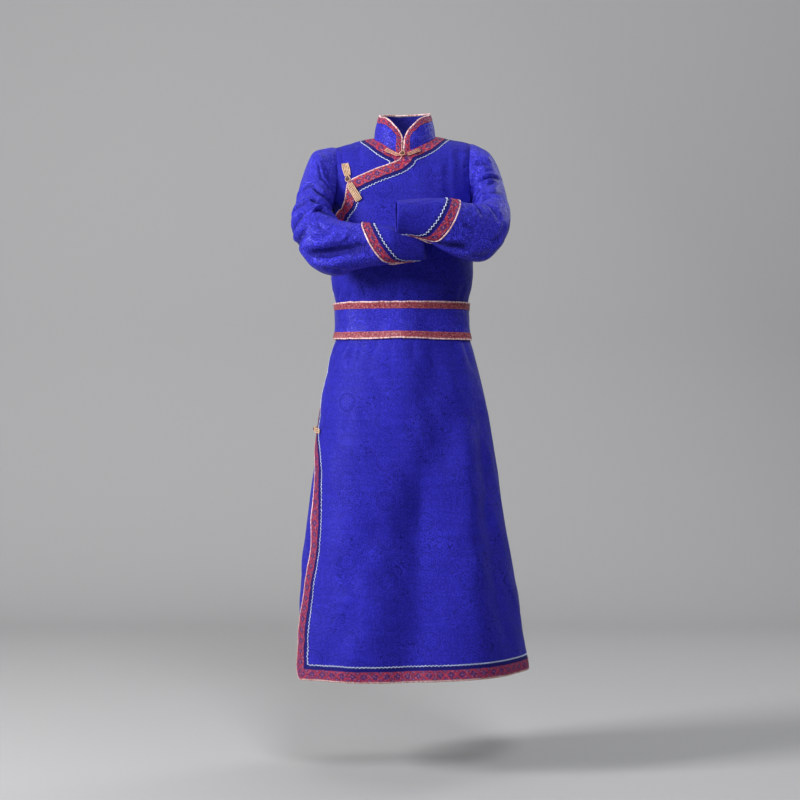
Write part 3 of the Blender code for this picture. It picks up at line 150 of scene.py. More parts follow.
def smooth(xk, yk, x):
    """A smooth curve through a table's points that never overshoots them (monotone cubic)."""
    xk, yk, x = np.asarray(xk, float), np.asarray(yk, float), np.asarray(x, float)
    h, d = np.diff(xk), np.diff(yk) / np.diff(xk)
    m = np.zeros_like(yk)
    w1, w2 = 2 * h[1:] + h[:-1], h[1:] + 2 * h[:-1]
    same = d[:-1] * d[1:] > 0
    with np.errstate(divide="ignore", invalid="ignore"):
        m[1:-1] = np.where(same, (w1 + w2) / (w1 / d[:-1] + w2 / d[1:]), 0)
    m[0], m[-1] = d[0], d[-1]
    i = np.clip(np.searchsorted(xk, x) - 1, 0, len(h) - 1)
    t = (x - xk[i]) / h[i]
    return (
        yk[i] * (1 + 2 * t) * (1 - t) ** 2
        + m[i] * h[i] * t * (1 - t) ** 2
        + yk[i + 1] * t * t * (3 - 2 * t)
        - m[i + 1] * h[i] * t * t * (1 - t)
    )


def natural(xk, yk, x):
    """A smooth curve through points with even bends (cubic, Catmull-Rom tangents)."""
    xk, yk, x = np.asarray(xk, float), np.asarray(yk, float), np.asarray(x, float)
    h, d = np.diff(xk), np.diff(yk) / np.diff(xk)
    m = np.empty_like(yk)
    m[1:-1] = (d[:-1] * h[1:] + d[1:] * h[:-1]) / (h[1:] + h[:-1])
    m[0], m[-1] = 1.5 * d[0] - 0.5 * m[1], 1.5 * d[-1] - 0.5 * m[-2]
    i = np.clip(np.searchsorted(xk, x) - 1, 0, len(h) - 1)
    t = (x - xk[i]) / h[i]
    return (
        yk[i] * (1 + 2 * t) * (1 - t) ** 2
        + m[i] * h[i] * t * (1 - t) ** 2
        + yk[i + 1] * t * t * (3 - 2 * t)
        - m[i + 1] * h[i] * t * t * (1 - t)
    )


def step(a, b, x):
    t = np.clip((np.asarray(x, float) - a) / (b - a), 0, 1)
    return t * t * (3 - 2 * t)


def unit(v):
    return v / np.maximum(np.linalg.norm(v, axis=-1, keepdims=True), 1e-12)


def lookup(grid, i, j):
    """Reads a dense grid of vectors at fractional places."""
    i, j = np.clip(i, 0, grid.shape[0] - 1.000001), np.clip(j, 0, grid.shape[1] - 1.000001)
    i0, j0 = i.astype(int), j.astype(int)
    a, b = (i - i0)[..., None], (j - j0)[..., None]
    return (
        grid[i0, j0] * (1 - a) * (1 - b)
        + grid[i0 + 1, j0] * a * (1 - b)
        + grid[i0, j0 + 1] * (1 - a) * b
        + grid[i0 + 1, j0 + 1] * a * b
    )


class Half:
    """Front or back of the body as one surface. A place on it is (x, y): metres across from the
    centre line, and metres down the centre line from the shoulder seam."""

    PER_ROW, COLS = 24, 480

    def __init__(self, side, extra_relief=None):
        self.other = None                         # the half that carries on past the right side seam
        rows = table(BODY_ROWS)
        key = column(rows, "row")
        t = np.arange(0, EXTRA * self.PER_ROW + 1) / self.PER_ROW
        col = {n: smooth(key, column(rows, n, 0.001), t) for n in
               ("zf", "yf", "zb", "yb", "xe", "yfe", "ybe", "ze", "cx")}
        n, m = smooth(key, column(rows, "n"), t), smooth(key, column(rows, "m"), t)
        zm, ym, ye = (col["zf"], col["yf"], col["yfe"]) if side == "f" else (col["zb"], col["yb"], col["ybe"])
        # across: many places, spaced evenly along the curve
        q = np.linspace(-1, 1, 2001)
        s = np.sin(q * math.pi / 2)
        across = np.clip(1 - np.abs(s)[None, :] ** n[:, None], 0, 1)
        bow = across ** m[:, None]
        flat = (1 - s * s)[None, :] * np.ones_like(bow)
        x = col["cx"][:, None] + col["xe"][:, None] * s[None, :]
        y = ye[:, None] + (ym - ye)[:, None] * bow
        z = col["ze"][:, None] + (zm - col["ze"])[:, None] * flat
        z = z + SHOULDER_TILT * x * (1 - step(0, ARMPIT + 1, t))[:, None]
        p = np.stack([x, y, z], -1)
        run = np.concatenate([np.zeros((len(t), 1)), np.cumsum(np.linalg.norm(np.diff(p, axis=1), axis=-1), axis=1)], 1)
        mid = run[:, 1000]
        self.right, self.left = mid, run[:, -1] - mid      # half girths, to the right and the left side
        f = np.linspace(-1, 1, self.COLS + 1)
        even = np.empty((len(t), len(f), 3))
        for r in range(len(t)):
            want = mid[r] + np.where(f < 0, f * self.right[r], f * self.left[r])
            for k in range(3):
                even[r, :, k] = np.interp(want, run[r], p[r, :, k])
        self.f, self.t, self.side = f, t, side
        down = np.linalg.norm(np.diff(even[:, self.COLS // 2], axis=0), axis=-1)
        self.down = np.concatenate([[0], np.cumsum(down)])
        self.plain = even
        nrm = self.normals(even)
        relief = self.relief(f, t)
        if extra_relief is not None:
            relief = relief + extra_relief(self, f, t)
        self.p = even + nrm * relief[..., None]
        self.n = self.normals(self.p)

    def normals(self, p):
        du, dv = np.gradient(p, axis=1), np.gradient(p, axis=0)
        n = np.cross(du, dv)
        if self.side == "f":
            n = -n
        n = unit(n)
        out = unit(p - np.array([0, 0, 0]) - np.stack([p[..., 0] * 0, p[..., 1] * 0, p[..., 2]], -1))
        flip = ((n * out).sum(-1) < 0) & (np.abs(n[..., 2]) < 0.6)
        return np.where(flip[..., None], -n, n) if flip.mean() > 0.5 else n

    def relief(self, f, t):
        """How far the folds stand out of the plain surface."""
        out = np.zeros((len(t), len(f)))
        for r in table(FOLDS):
            if r["side"] != self.side:
                continue
            share = np.clip((t - r["top"]) / (r["end"] - r["top"]), 0, 1)
            at = r["at0"] + (r["at1"] - r["at0"]) * share
            if r["end"] > LAST:
                swell = share ** 1.2
            else:
                swell = np.sin(math.pi * np.clip(share, 0, 1)) ** 1.5
            out += (0.001 * r["deep"] * swell)[:, None] * np.exp(-(((f[None, :] - at[:, None]) / r["wide"]) ** 2))
        fade = step(0.0, 0.06, 1 - np.abs(f))[None, :]      # none at the side seams
        return out * fade

    def row_at(self, y):
        return np.interp(y, self.down, np.arange(len(self.t)))

    def girth(self, y, x):
        i = self.row_at(y)
        k = np.arange(len(self.t))
        return np.where(np.asarray(x) < 0, np.interp(i, k, self.right), np.interp(i, k, self.left))

    def at(self, xy, out=0.0):
        """Points of the surface at places xy, moved out, and the normals there. A place past the
        right side seam goes on round the other half."""
        xy = np.asarray(xy, float).reshape(-1, 2)
        i = self.row_at(xy[:, 1])
        half_girth = self.girth(xy[:, 1], xy[:, 0])
        j = (xy[:, 0] / half_girth + 1) * self.COLS / 2
        p, n = lookup(self.p, i, j), lookup(self.n, i, j)
        past = np.where(xy[:, 0] < 0, -xy[:, 0] - half_girth, 0)
        if self.other is not None and (past > 0).any():
            k = past > 0
            far = np.interp(i[k], np.arange(len(self.t)), self.other.right)
            p[k] = lookup(self.other.p, i[k], past[k] / far * self.COLS / 2)
            n[k] = lookup(self.other.n, i[k], past[k] / far * self.COLS / 2)
        n = unit(n)
        return p + n * np.reshape(out, (-1, 1)) * np.ones((len(xy), 1)), n

    def y_of_row(self, row):
        return np.interp(np.asarray(row, float) * self.PER_ROW, np.arange(len(self.t)), self.down)

    def row_of_y(self, y):
        return self.row_at(y) / self.PER_ROW


# ---------------------------------------------------------------- outlines, in metres on the cloth
# Neckline of the fronts and of the back, from the right shoulder to the left: across, down.
NECK_FRONT = """
across  down
-0.0710 0.000
-0.0660 0.020
-0.0550 0.040
-0.0400 0.060
-0.0210 0.076
 0.0000 0.086
 0.0200 0.078
 0.0400 0.065
 0.0610 0.045
 0.0740 0.022
 0.0790 0.000
"""
NECK_BACK = """
across  down
-0.0710 0.000
-0.0600 0.026
-0.0350 0.046
 0.0040 0.053
 0.0430 0.046
 0.0680 0.026
 0.0790 0.000
"""
# Edge of the outer front, from the pit of the neck over the chest and down the right side.
FLAP = """
across  down
-0.0010 0.087
-0.0010 0.101
-0.0080 0.110
-0.0290 0.1205
-0.0530 0.1300
-0.0830 0.1440
-0.1110 0.1590
-0.1240 0.1670
-0.1300 0.1760
-0.1325 0.190
-0.1380 0.212
-0.1500 0.236
-0.1720 0.266
-0.2000 0.303
-0.2270 0.344
-0.2430 0.376
-0.2490 0.405
-0.2420 0.436
-0.2345 0.470
-0.2330 0.500
-0.2370 0.526
-0.2620 0.600
-0.2760 0.660
-0.2810 0.710
-0.2790 0.750
-0.2680 0.785
-0.2550 0.822
-0.2465 0.870
-0.2430 0.930
-0.2440 1.000
-0.2520 1.060
-0.2650 1.130
-0.2730 1.200
-0.2780 1.270
-0.2795 1.318
-0.2730 1.3361
"""
HEM = """
across  down
-0.4200 1.334
-0.3500 1.336
-0.3000 1.3365
-0.2000 1.334
-0.0500 1.332
 0.1000 1.328
 0.2500 1.324
 0.4200 1.322
"""
UNDER_EDGE = ((0.0010, 0.087), (0.0120, 1.338))     # front edge of the under front, top and bottom
WAIST = (0.36, 0.62)                                # where the cloth curves in over and under the belt
UNDER_DROP = -0.003                                  # how much lower the under front hangs
CORNER = 0.017                                      # how far the outer front's free lower corner swings out
LAP_FROM, LAP_TO = 0.020, 0.075                      # where the outer front rises over the under front


def flat(text):
    rows = table(text)
    return np.stack([column(rows, "across"), column(rows, "down")], -1)


def resample(p, h, keep=()):
    """Points along a polyline about h apart, keeping its sharp corners."""
    p = np.asarray(p, float)
    seg = np.linalg.norm(np.diff(p, axis=0), axis=1)
    run = np.concatenate([[0], np.cumsum(seg)])
    out = []
    marks = [0, *sorted(keep), len(p) - 1]
    for a, b in zip(marks[:-1], marks[1:]):
        n = max(1, int(math.ceil((run[b] - run[a]) / h)))
        want = np.linspace(run[a], run[b], n + 1)
        out.append(np.stack([np.interp(want, run, p[:, k]) for k in range(p.shape[1])], -1)[:-1])
    return np.concatenate([*out, p[-1:]])


def curve(p, h, fine=0.0015):
    """A smooth curve through points, resampled about h apart."""
    p = np.asarray(p, float)
    run = np.concatenate([[0], np.cumsum(np.linalg.norm(np.diff(p, axis=0), axis=1))])
    t = np.arange(0, run[-1], fine)
    t = np.append(t, run[-1])
    dense = np.stack([smooth(run, p[:, k], t) if len(p) > 2 else np.interp(t, run, p[:, k]) for k in range(p.shape[1])], -1)
    return resample(dense, h)


def distance(points, line):
    """Distance of each point to a polyline, and how far along the line the nearest place is."""
    a, b = line[:-1], line[1:]
    d = b - a
    run = np.concatenate([[0], np.cumsum(np.linalg.norm(d, axis=1))])
    out = np.full(len(points), 1e9)
    along = np.zeros(len(points))
    for k in range(len(a)):
        ln = max(float(d[k] @ d[k]), 1e-18)
        t = np.clip(((points - a[k]) @ d[k]) / ln, 0, 1)
        dist = np.linalg.norm(points - (a[k] + t[:, None] * d[k]), axis=1)
        better = dist < out
        out = np.where(better, dist, out)
        along = np.where(better, run[k] + t * math.sqrt(ln), along)
    return out, along


def inside(points, poly):
    x, y = points[:, 0], points[:, 1]
    hit = np.zeros(len(points), bool)
    a, b = poly, np.roll(poly, -1, axis=0)
    for (x0, y0), (x1, y1) in zip(a, b):
        if y0 == y1:
            continue
        cross = ((y0 > y) != (y1 > y)) & (x < (x1 - x0) * (y - y0) / (y1 - y0) + x0)
        hit ^= cross
    return hit


def parallel(line, d, h, poly, tol=0.0, tall=1.0):
    """The line at distance d inside, rounded at inner corners, and carried on past both ends."""
    fine = resample(line, 0.002)
    tan = unit(np.diff(fine, axis=0))
    nrm = np.stack([-tan[:, 1], tan[:, 0]], -1)
    k = len(nrm) // 2
    if not inside((fine[k] + nrm[k] * 0.004)[None], poly)[0]:
        nrm = -nrm
    pts = []
    for i in range(len(nrm)):
        if i:
            turn = math.acos(float(np.clip(nrm[i - 1] @ nrm[i], -1, 1)))
            n = int(turn / 0.12)
            for q in range(1, n + 1):
                mix = unit(nrm[i - 1] * (1 - q / (n + 1)) + nrm[i] * (q / (n + 1)))
                pts.append(fine[i] + mix * d)
        pts += [fine[i] + nrm[i] * d, fine[i + 1] + nrm[i] * d]
    pts = np.array(pts)
    pts = pts[distance(pts, fine)[0] > d - 0.00005]
    first = pts[0] - tan[0] * 0.03
    last = pts[-1] + tan[-1] * 0.03
    body = resample(pts, h) if not tol else thin(pts, tol, h, tall)
    return np.concatenate([[first], body, [last]])


def thin(p, tol, most, tall=1.0):
    """Fewer points along a polyline, within tol of it and no further apart than most across, or
    most times tall down the cloth, where the waist doesn't curve it."""
    p = np.asarray(p, float)
    seg = np.diff(p, axis=0)
    mid = (p[1:, 1] + p[:-1, 1]) / 2
    seg[:, 1] /= np.where((mid > WAIST[0]) & (mid < WAIST[1]), 1, tall)
    run = np.concatenate([[0], np.cumsum(np.linalg.norm(seg, axis=1))])

    def split(a, b):
        if b - a < 2:
            return []
        d, _ = distance(p[a + 1:b], p[[a, b]])
        k = int(d.argmax())
        if d[k] > tol:
            m = a + 1 + k
        elif run[b] - run[a] > most:
            m = int(np.clip(np.searchsorted(run, (run[a] + run[b]) / 2), a + 1, b - 1))
        else:
            return []
        return split(a, m) + [m] + split(m, b)

    return p[[0, *split(0, len(p) - 1), len(p) - 1]]


def cdt(outline, lines, interior):
    """Triangles of an outline with lines drawn in it."""
    coords = [tuple(p) for p in outline]
    edges = [(i, (i + 1) % len(outline)) for i in range(len(outline))]
    for line in lines:
        start = len(coords)
        coords += [tuple(p) for p in line]
        edges += [(start + i, start + i + 1) for i in range(len(line) - 1)]
    coords += [tuple(p) for p in interior]
    verts, _, faces, *_ = delaunay_2d_cdt([Vector(c) for c in coords], edges, [], 0, 1e-7, False)
    xy = np.array([tuple(v) for v in verts])
    tri = np.array([f for f in faces if len(f) == 3])
    a, b, c = xy[tri[:, 0]], xy[tri[:, 1]], xy[tri[:, 2]]
    area = ((b - a)[:, 0] * (c - a)[:, 1] - (b - a)[:, 1] * (c - a)[:, 0]) / 2
    tri = np.where((area < 0)[:, None], tri[:, ::-1], tri)
    mid = xy[tri].mean(1)
    tri = tri[inside(mid, np.asarray(outline)) & (np.abs(area) > 1e-9)]
    used = np.unique(tri)
    index = np.full(len(xy), -1)
    index[used] = np.arange(len(used))
    return xy[used], index[tri]


def grid_points(outline, avoid, hx, ys, clear):
    """Points in staggered rows at the heights ys, clear of the outline and the lines."""
    lo, hi = outline.min(0), outline.max(0)
    xs = np.arange(-0.6, 0.6, hx)
    g = np.array([(x + hx / 2 * (k % 2), y) for k, y in enumerate(ys) for x in xs])
    g = g[inside(g, outline)]
    for line in [np.concatenate([outline, outline[:1]]), *avoid]:
        if len(g):
            g = g[distance(g, line)[0] > clear]
    return g


def parts_of(xy, tri, keep):
    """The triangles chosen, with their own points."""
    tri = tri[keep]
    used = np.unique(tri)
    index = np.full(len(xy), -1)
    index[used] = np.arange(len(used))
    return used, index[tri]


# ---------------------------------------------------------------- the pieces' outlines
ARM_ROWS = (0, 0.9, 1.7, 2.5, 3.3, 4.1, 4.8, 5.5, 6.2, 7)       # rows of the armhole's points
SIDE_ROWS = (7, 9, 11, 13, 14.5, 16, 17.2, 18.4, 19.2, 20, 20.7, 21.4, 22.1, 22.8, 23.5, 24.2)   # rows of the side seams' points


def hem_at(x):
    h = flat(HEM)
    return float(smooth(h[:, 0], h[:, 1], [x])[0])


def seam_foot(half, sign, down):
    """Where a side edge of a half meets the hem."""
    for _ in range(6):
        x = sign * (float(half.girth(np.array([down]), sign)[0]) - SEAM * 0.3)
        down = hem_at(x)
    return x


def side_points(half, sign, rows):
    """Places down a side edge of a half, at the given rows."""
    y = half.y_of_row(rows)
    return np.stack([sign * (half.girth(y, sign) - SEAM * 0.3), y], -1)


def outlines(front, back, h, tol, tall=1.0, shoulder=3, rows=(ARM_ROWS, SIDE_ROWS)):
    """Outline, trimmed edges and seams of each panel. Front and back share their seams' points."""
    arm, side = rows
    neck_l, neck_r = 0.0790, -0.0710
    nf, nb = curve(flat(NECK_FRONT), 0.002), curve(flat(NECK_BACK), 0.002)
    flap = curve(flat(FLAP), 0.002)
    hem = curve(flat(HEM), 0.002)
    y0 = SEAM / 2

    def top(a, b):
        return [(x, y0) for x in np.linspace(a, b, shoulder + 1)]

    def cut(p):
        return thin(resample(p, 0.003), tol, h, tall)

    out = {}
    # outer front: neck, flap, side and hem are one trimmed edge
    left_neck = nf[nf[:, 0] > 0.0012][::-1]
    left_neck[0] = (neck_l, y0)
    corner = flap[-1]
    low = hem[hem[:, 0] > corner[0] + 0.001]
    end_x = seam_foot(front, 1, 1.32)
    low = low[low[:, 0] < end_x]
    edge = np.concatenate([cut(np.concatenate([left_neck, flap[:1]])), cut(flap)[1:], cut(np.concatenate([flap[-1:], low, [(end_x, hem_at(end_x))]]))[1:]])
    y_end = edge[-1][1]
    left = side_points(front, 1, [r for r in side if front.y_of_row(r) < y_end - 0.01])
    arm_l = side_points(front, 1, arm)
    rest = np.concatenate([left[::-1], arm_l[::-1][1:], np.array(top(0.160 - SEAM, neck_l))[1:]])
    rest[len(left) + len(arm_l) - 2] = (0.160 - SEAM, y0)
    out["front_outer"] = dict(edge=edge, outline=np.concatenate([edge, rest[:-1]]), half=front)
    # under front
    right_neck = nf[nf[:, 0] < UNDER_EDGE[0][0] - 0.003]
    right_neck[0] = (neck_r, y0)
    (ax, ay), (bx, by) = UNDER_EDGE
    turn_top, turn_low = np.array([(ax, ay)]), np.array([(bx, hem_at(bx) + UNDER_DROP)])
    far_x = seam_foot(front, -1, 1.33)
    low = hem[(hem[:, 0] < bx - 0.002) & (hem[:, 0] > far_x)][::-1].copy()
    low[:, 1] += UNDER_DROP * step(far_x, far_x + 0.20, low[:, 0])
    last = np.array([(far_x, hem_at(far_x))])
    edge = np.concatenate([cut(np.concatenate([right_neck, turn_top])), cut(np.concatenate([turn_top, turn_low]))[1:], cut(np.concatenate([turn_low, low, last]))[1:]])
    y_end = edge[-1][1]
    right = side_points(front, -1, [r for r in side if front.y_of_row(r) < y_end - 0.01])
    arm_r = side_points(front, -1, arm)
    rest = np.concatenate([right[::-1], arm_r[::-1][1:], np.array(top(-0.160 + SEAM, neck_r))[1:]])
    rest[len(right) + len(arm_r) - 2] = (-0.160 + SEAM, y0)
    out["front_under"] = dict(edge=edge, outline=np.concatenate([edge, rest[:-1]]), half=front)
    # back: the hem and the neck are two trimmed edges
    x_l = float(back.girth(np.array([1.30]), 1)[0]) - SEAM * 0.3
    x_r = -float(back.girth(np.array([1.30]), -1)[0]) + SEAM * 0.3
    zl = front.at([(end_x, hem_at(end_x))])[0][0][2]
    zr = front.at([(far_x, hem_at(far_x))])[0][0][2]
    yl = float(np.interp(-zl, -back.p[:, -1, 2], back.down))
    yr = float(np.interp(-zr, -back.p[:, 0, 2], back.down))
    xs = np.linspace(x_l, x_r, 400)
    ys = yl + (yr - yl) * (x_l - xs) / (x_l - x_r) + 0.004 * np.sin(math.pi * (x_l - xs) / (x_l - x_r))
    xs[0], xs[-1] = float(back.girth(np.array([yl]), 1)[0]) - SEAM * 0.3, -float(back.girth(np.array([yr]), -1)[0]) + SEAM * 0.3
    low = cut(np.stack([xs, ys], -1))[::-1]
    neck = nb[::-1].copy()
    neck[0], neck[-1] = (neck_l, y0), (neck_r, y0)
    neck = cut(neck)
    right = side_points(back, -1, [r for r in side if back.y_of_row(r) < yr - 0.01])
    left = side_points(back, 1, [r for r in side if back.y_of_row(r) < yl - 0.01])
    arm_r, arm_l = side_points(back, -1, arm), side_points(back, 1, arm)
    arm_r[0], arm_l[0] = (-0.160 + SEAM, y0), (0.160 - SEAM, y0)
    outline = np.concatenate([
        low, left[::-1], arm_l[::-1][1:], np.array(top(0.160 - SEAM, neck_l))[1:-1], neck,
        np.array(top(neck_r, -0.160 + SEAM))[1:-1], arm_r, right[1:]])
    out["back"] = dict(edge=low, neck=neck, outline=outline, half=back)
    return out


def over(x, y):
    """How far the outer front stands out, over the under front. Its free lower corner swings out."""
    return LAP * (1 - step(LAP_FROM, LAP_TO, x)) + CORNER * step(1.02, 1.31, y) * step(-0.175, -0.278, x)


TRIMS = (0.022, 0.030, 0.035)      # inner edge of the ribbon, and both edges of the zigzag braid


def panel_net(spec, h, tol, tall, hx, ys, clear):
    """Triangles of a panel, and of the ribbon and braid on it, by distance from the trimmed edge."""
    outline, edge = spec["outline"], spec["edge"]
    lines, dists = [], []
    edges = [edge] + ([spec["neck"]] if "neck" in spec else [])
    for e in edges:
        lines += [parallel(e, d, h, outline, tol, tall) for d in TRIMS]
    pts = grid_points(outline, lines, hx, ys, clear)
    xy, tri = cdt(outline, lines, pts)
    mid = xy[tri].mean(1)
    spec.update(xy=xy, tri=tri, mid=mid, dist=[distance(mid, e)[0] for e in edges])
    return spec


# ---------------------------------------------------------------- sleeves, cuffs, collar and belt
# Sections of the sleeves, in millimetres. xi zi: inner point, from the armpit to the top of the
# forearm.  xo zo: outer point, from the shoulder past the elbow to the underside of the forearm.
# y: depth of the middle.  b: half depth.  tilt: how far the section leans back along the arm, degrees.
SLEEVE_LEFT = """
 xi   zi    xo   zo     y    b  tilt
170 -160   206  -20   -10   66    10
171 -165   229  -76   -42   63    24
169 -168   244 -146   -86   59    38
163 -171   245 -203  -131   56    48
155 -169   226 -252  -168   53    48
144 -164   186 -293  -197   50    42
127 -161   136 -290  -217   46    30
 96 -158    97 -275  -232   42    20
 62 -158    62 -255  -243   38    12
 24 -161    24 -240  -253   35     8
-14 -166   -14 -233  -260   34     5
"""
SLEEVE_RIGHT = """
 xi   zi    xo   zo     y    b  tilt
-170 -160  -209  -16   -10   66    10
-171 -167  -234  -74   -40   63    24
-169 -177  -252 -152   -78   59    38
-162 -187  -258 -208  -112   56    46
-153 -193  -240 -262  -136   53    46
-143 -197  -205 -308  -152   50    38
-124 -201  -155 -324  -162   46    26
 -98 -206  -110 -313  -168   42    16
 -52 -211   -54 -302  -172   38    10
   0 -217    -1 -293  -175   36     6
  50 -223    50 -286  -178   34     4
"""
# How far the turned-back cuff reaches from the wrist, in mm, by angle from the top of the arm.
CUFF = """
angle  reach
    0    150
   30    143
   60    130
   90    116
  120    100
  145     86
  160     70
  172     42
  180     26
"""
CUFF_TRIMS = (0.018, 0.027, 0.031)
# The collar, by angle from its front opening to the centre back: height and lean, in mm.
COLLAR = """
angle  high  lean
   0     38    11
   4     43    11
  10     48    11
  25     55    11
  45     60    12
  90     53    12
 135     54    10
 180     55     8
"""
COLLAR_RIBBON = 0.0125


class Sleeve:
    """One sleeve as a surface: (u, a), u from the armhole (0) to the wrist (1), a the angle from the
    outer side round by the front."""

    def __init__(self, text, sign, ring, angles, relief=None):
        rows = table(text)
        c = {n: column(rows, n, 0.001) for n in ("xi", "zi", "xo", "zo", "y", "b")}
        tilt = np.radians(column(rows, "tilt"))
        a = np.stack([c["xo"] - c["xi"], 0 * c["y"], c["zo"] - c["zi"]], -1) / 2
        mid = np.stack([(c["xo"] + c["xi"]) / 2, c["y"], (c["zo"] + c["zi"]) / 2], -1)
        e = unit(a)
        v = sign * np.stack([-e[:, 2], 0 * e[:, 0], e[:, 0]], -1)
        b = (np.cos(tilt)[:, None] * np.array([0, -1.0, 0]) + np.sin(tilt)[:, None] * v) * c["b"][:, None]
        self.ring, self.angles = ring, angles                 # armhole points, and their angles
        self.mid = np.concatenate([ring.mean(0)[None], mid])
        self.a, self.b = a, b
        run = np.concatenate([[0], np.cumsum(np.linalg.norm(np.diff(self.mid, axis=0), axis=1))])
        # measured on the outer side, where the cloth is longest
        outer = np.concatenate([ring[:1], mid + a])
        run2 = np.concatenate([[0], np.cumsum(np.linalg.norm(np.diff(outer, axis=0), axis=1))])
        self.knots = (run + run2) / 2
        self.length = float(self.knots[-1])
        self.sign = sign
        self.rel = relief

    def raw(self, w, ang):
        """Points at distances w from the wrist (metres, up the arm) and angles ang."""
        w, ang = np.broadcast_arrays(np.asarray(w, float), np.asarray(ang, float))
        shape = w.shape
        w, ang = w.ravel(), np.mod(ang.ravel(), 2 * math.pi)
        co, si = np.cos(ang), np.sin(ang)
        sq = 1 + 0.045 * np.sin(2 * ang) ** 2
        secs = self.mid[1:, None] + sq[None, :, None] * (co[None, :, None] * self.a[:, None] + si[None, :, None] * self.b[:, None])
        base = np.stack([np.interp(ang, self.angles, self.ring[:, k], period=2 * math.pi) for k in range(3)], -1)
        secs = np.concatenate([base[None], secs])
        k = self.knots
        t = self.length - w
        i = np.clip(np.searchsorted(k, t) - 1, 0, len(k) - 2)
        h = np.diff(k)
        d = np.diff(secs, axis=0) / h[:, None, None]
        m = np.empty_like(secs)
        m[1:-1] = (d[:-1] * h[1:, None, None] + d[1:] * h[:-1, None, None]) / (h[1:] + h[:-1])[:, None, None]
        m[0], m[-1] = d[0], d[-1]
        f = ((t - k[i]) / h[i])[:, None]
        j = np.arange(len(t))
        hh = h[i][:, None]
        out = (secs[i, j] * (1 + 2 * f) * (1 - f) ** 2 + m[i, j] * hh * f * (1 - f) ** 2
               + secs[i + 1, j] * f * f * (3 - 2 * f) - m[i + 1, j] * hh * f * f * (1 - f))
        past = np.maximum(t - k[-1], 0)[:, None]
        out = np.where(past > 0, secs[-1, j] + m[-1, j] * past, out)
        return out.reshape(*shape, 3)

    def normal(self, w, ang):
        w, ang = np.broadcast_arrays(np.asarray(w, float), np.asarray(ang, float))
        d = 0.003
        top = np.minimum(w + d, self.length)
        du = self.raw(top - 2 * d, ang) - self.raw(top, ang)
        dv = self.raw(w, ang + 0.05) - self.raw(w, ang - 0.05)
        return unit(np.cross(du, dv)) * -self.sign

    def at(self, w, ang, out=0.0):
        p, n = self.raw(w, ang), self.normal(w, ang)
        if self.rel is not None:
            out = out + self.rel(self, w, ang)
        return p + n * np.asarray(out)[..., None], n

    def reach(self, ang):
        """Length of the cuff at an angle; the top of the arm is at pi."""
        rows = table(CUFF)
        off = np.degrees(np.abs(np.mod(np.asarray(ang) - math.pi + math.pi, 2 * math.pi) - math.pi))
        return smooth(column(rows, "angle"), column(rows, "reach", 0.001), off)


def armhole(front, back, sign, rows):
    """Points round an armhole from the shoulder by the front to the armpit and up the back, and angles."""
    pf = front.at(np.stack([sign * front.girth(front.y_of_row(rows), sign), front.y_of_row(rows)], -1))[0]
    pb = back.at(np.stack([sign * back.girth(back.y_of_row(rows), sign), back.y_of_row(rows)], -1))[0]
    rf = np.concatenate([[0], np.cumsum(np.linalg.norm(np.diff(pf, axis=0), axis=1))])
    rb = np.concatenate([[0], np.cumsum(np.linalg.norm(np.diff(pb, axis=0), axis=1))])
    af = math.pi * rf / rf[-1]
    ab = 2 * math.pi - math.pi * rb / rb[-1]
    ring = np.concatenate([pf, pb[::-1][1:-1]])
    ang = np.concatenate([af, ab[::-1][1:-1]])
    return ring, ang


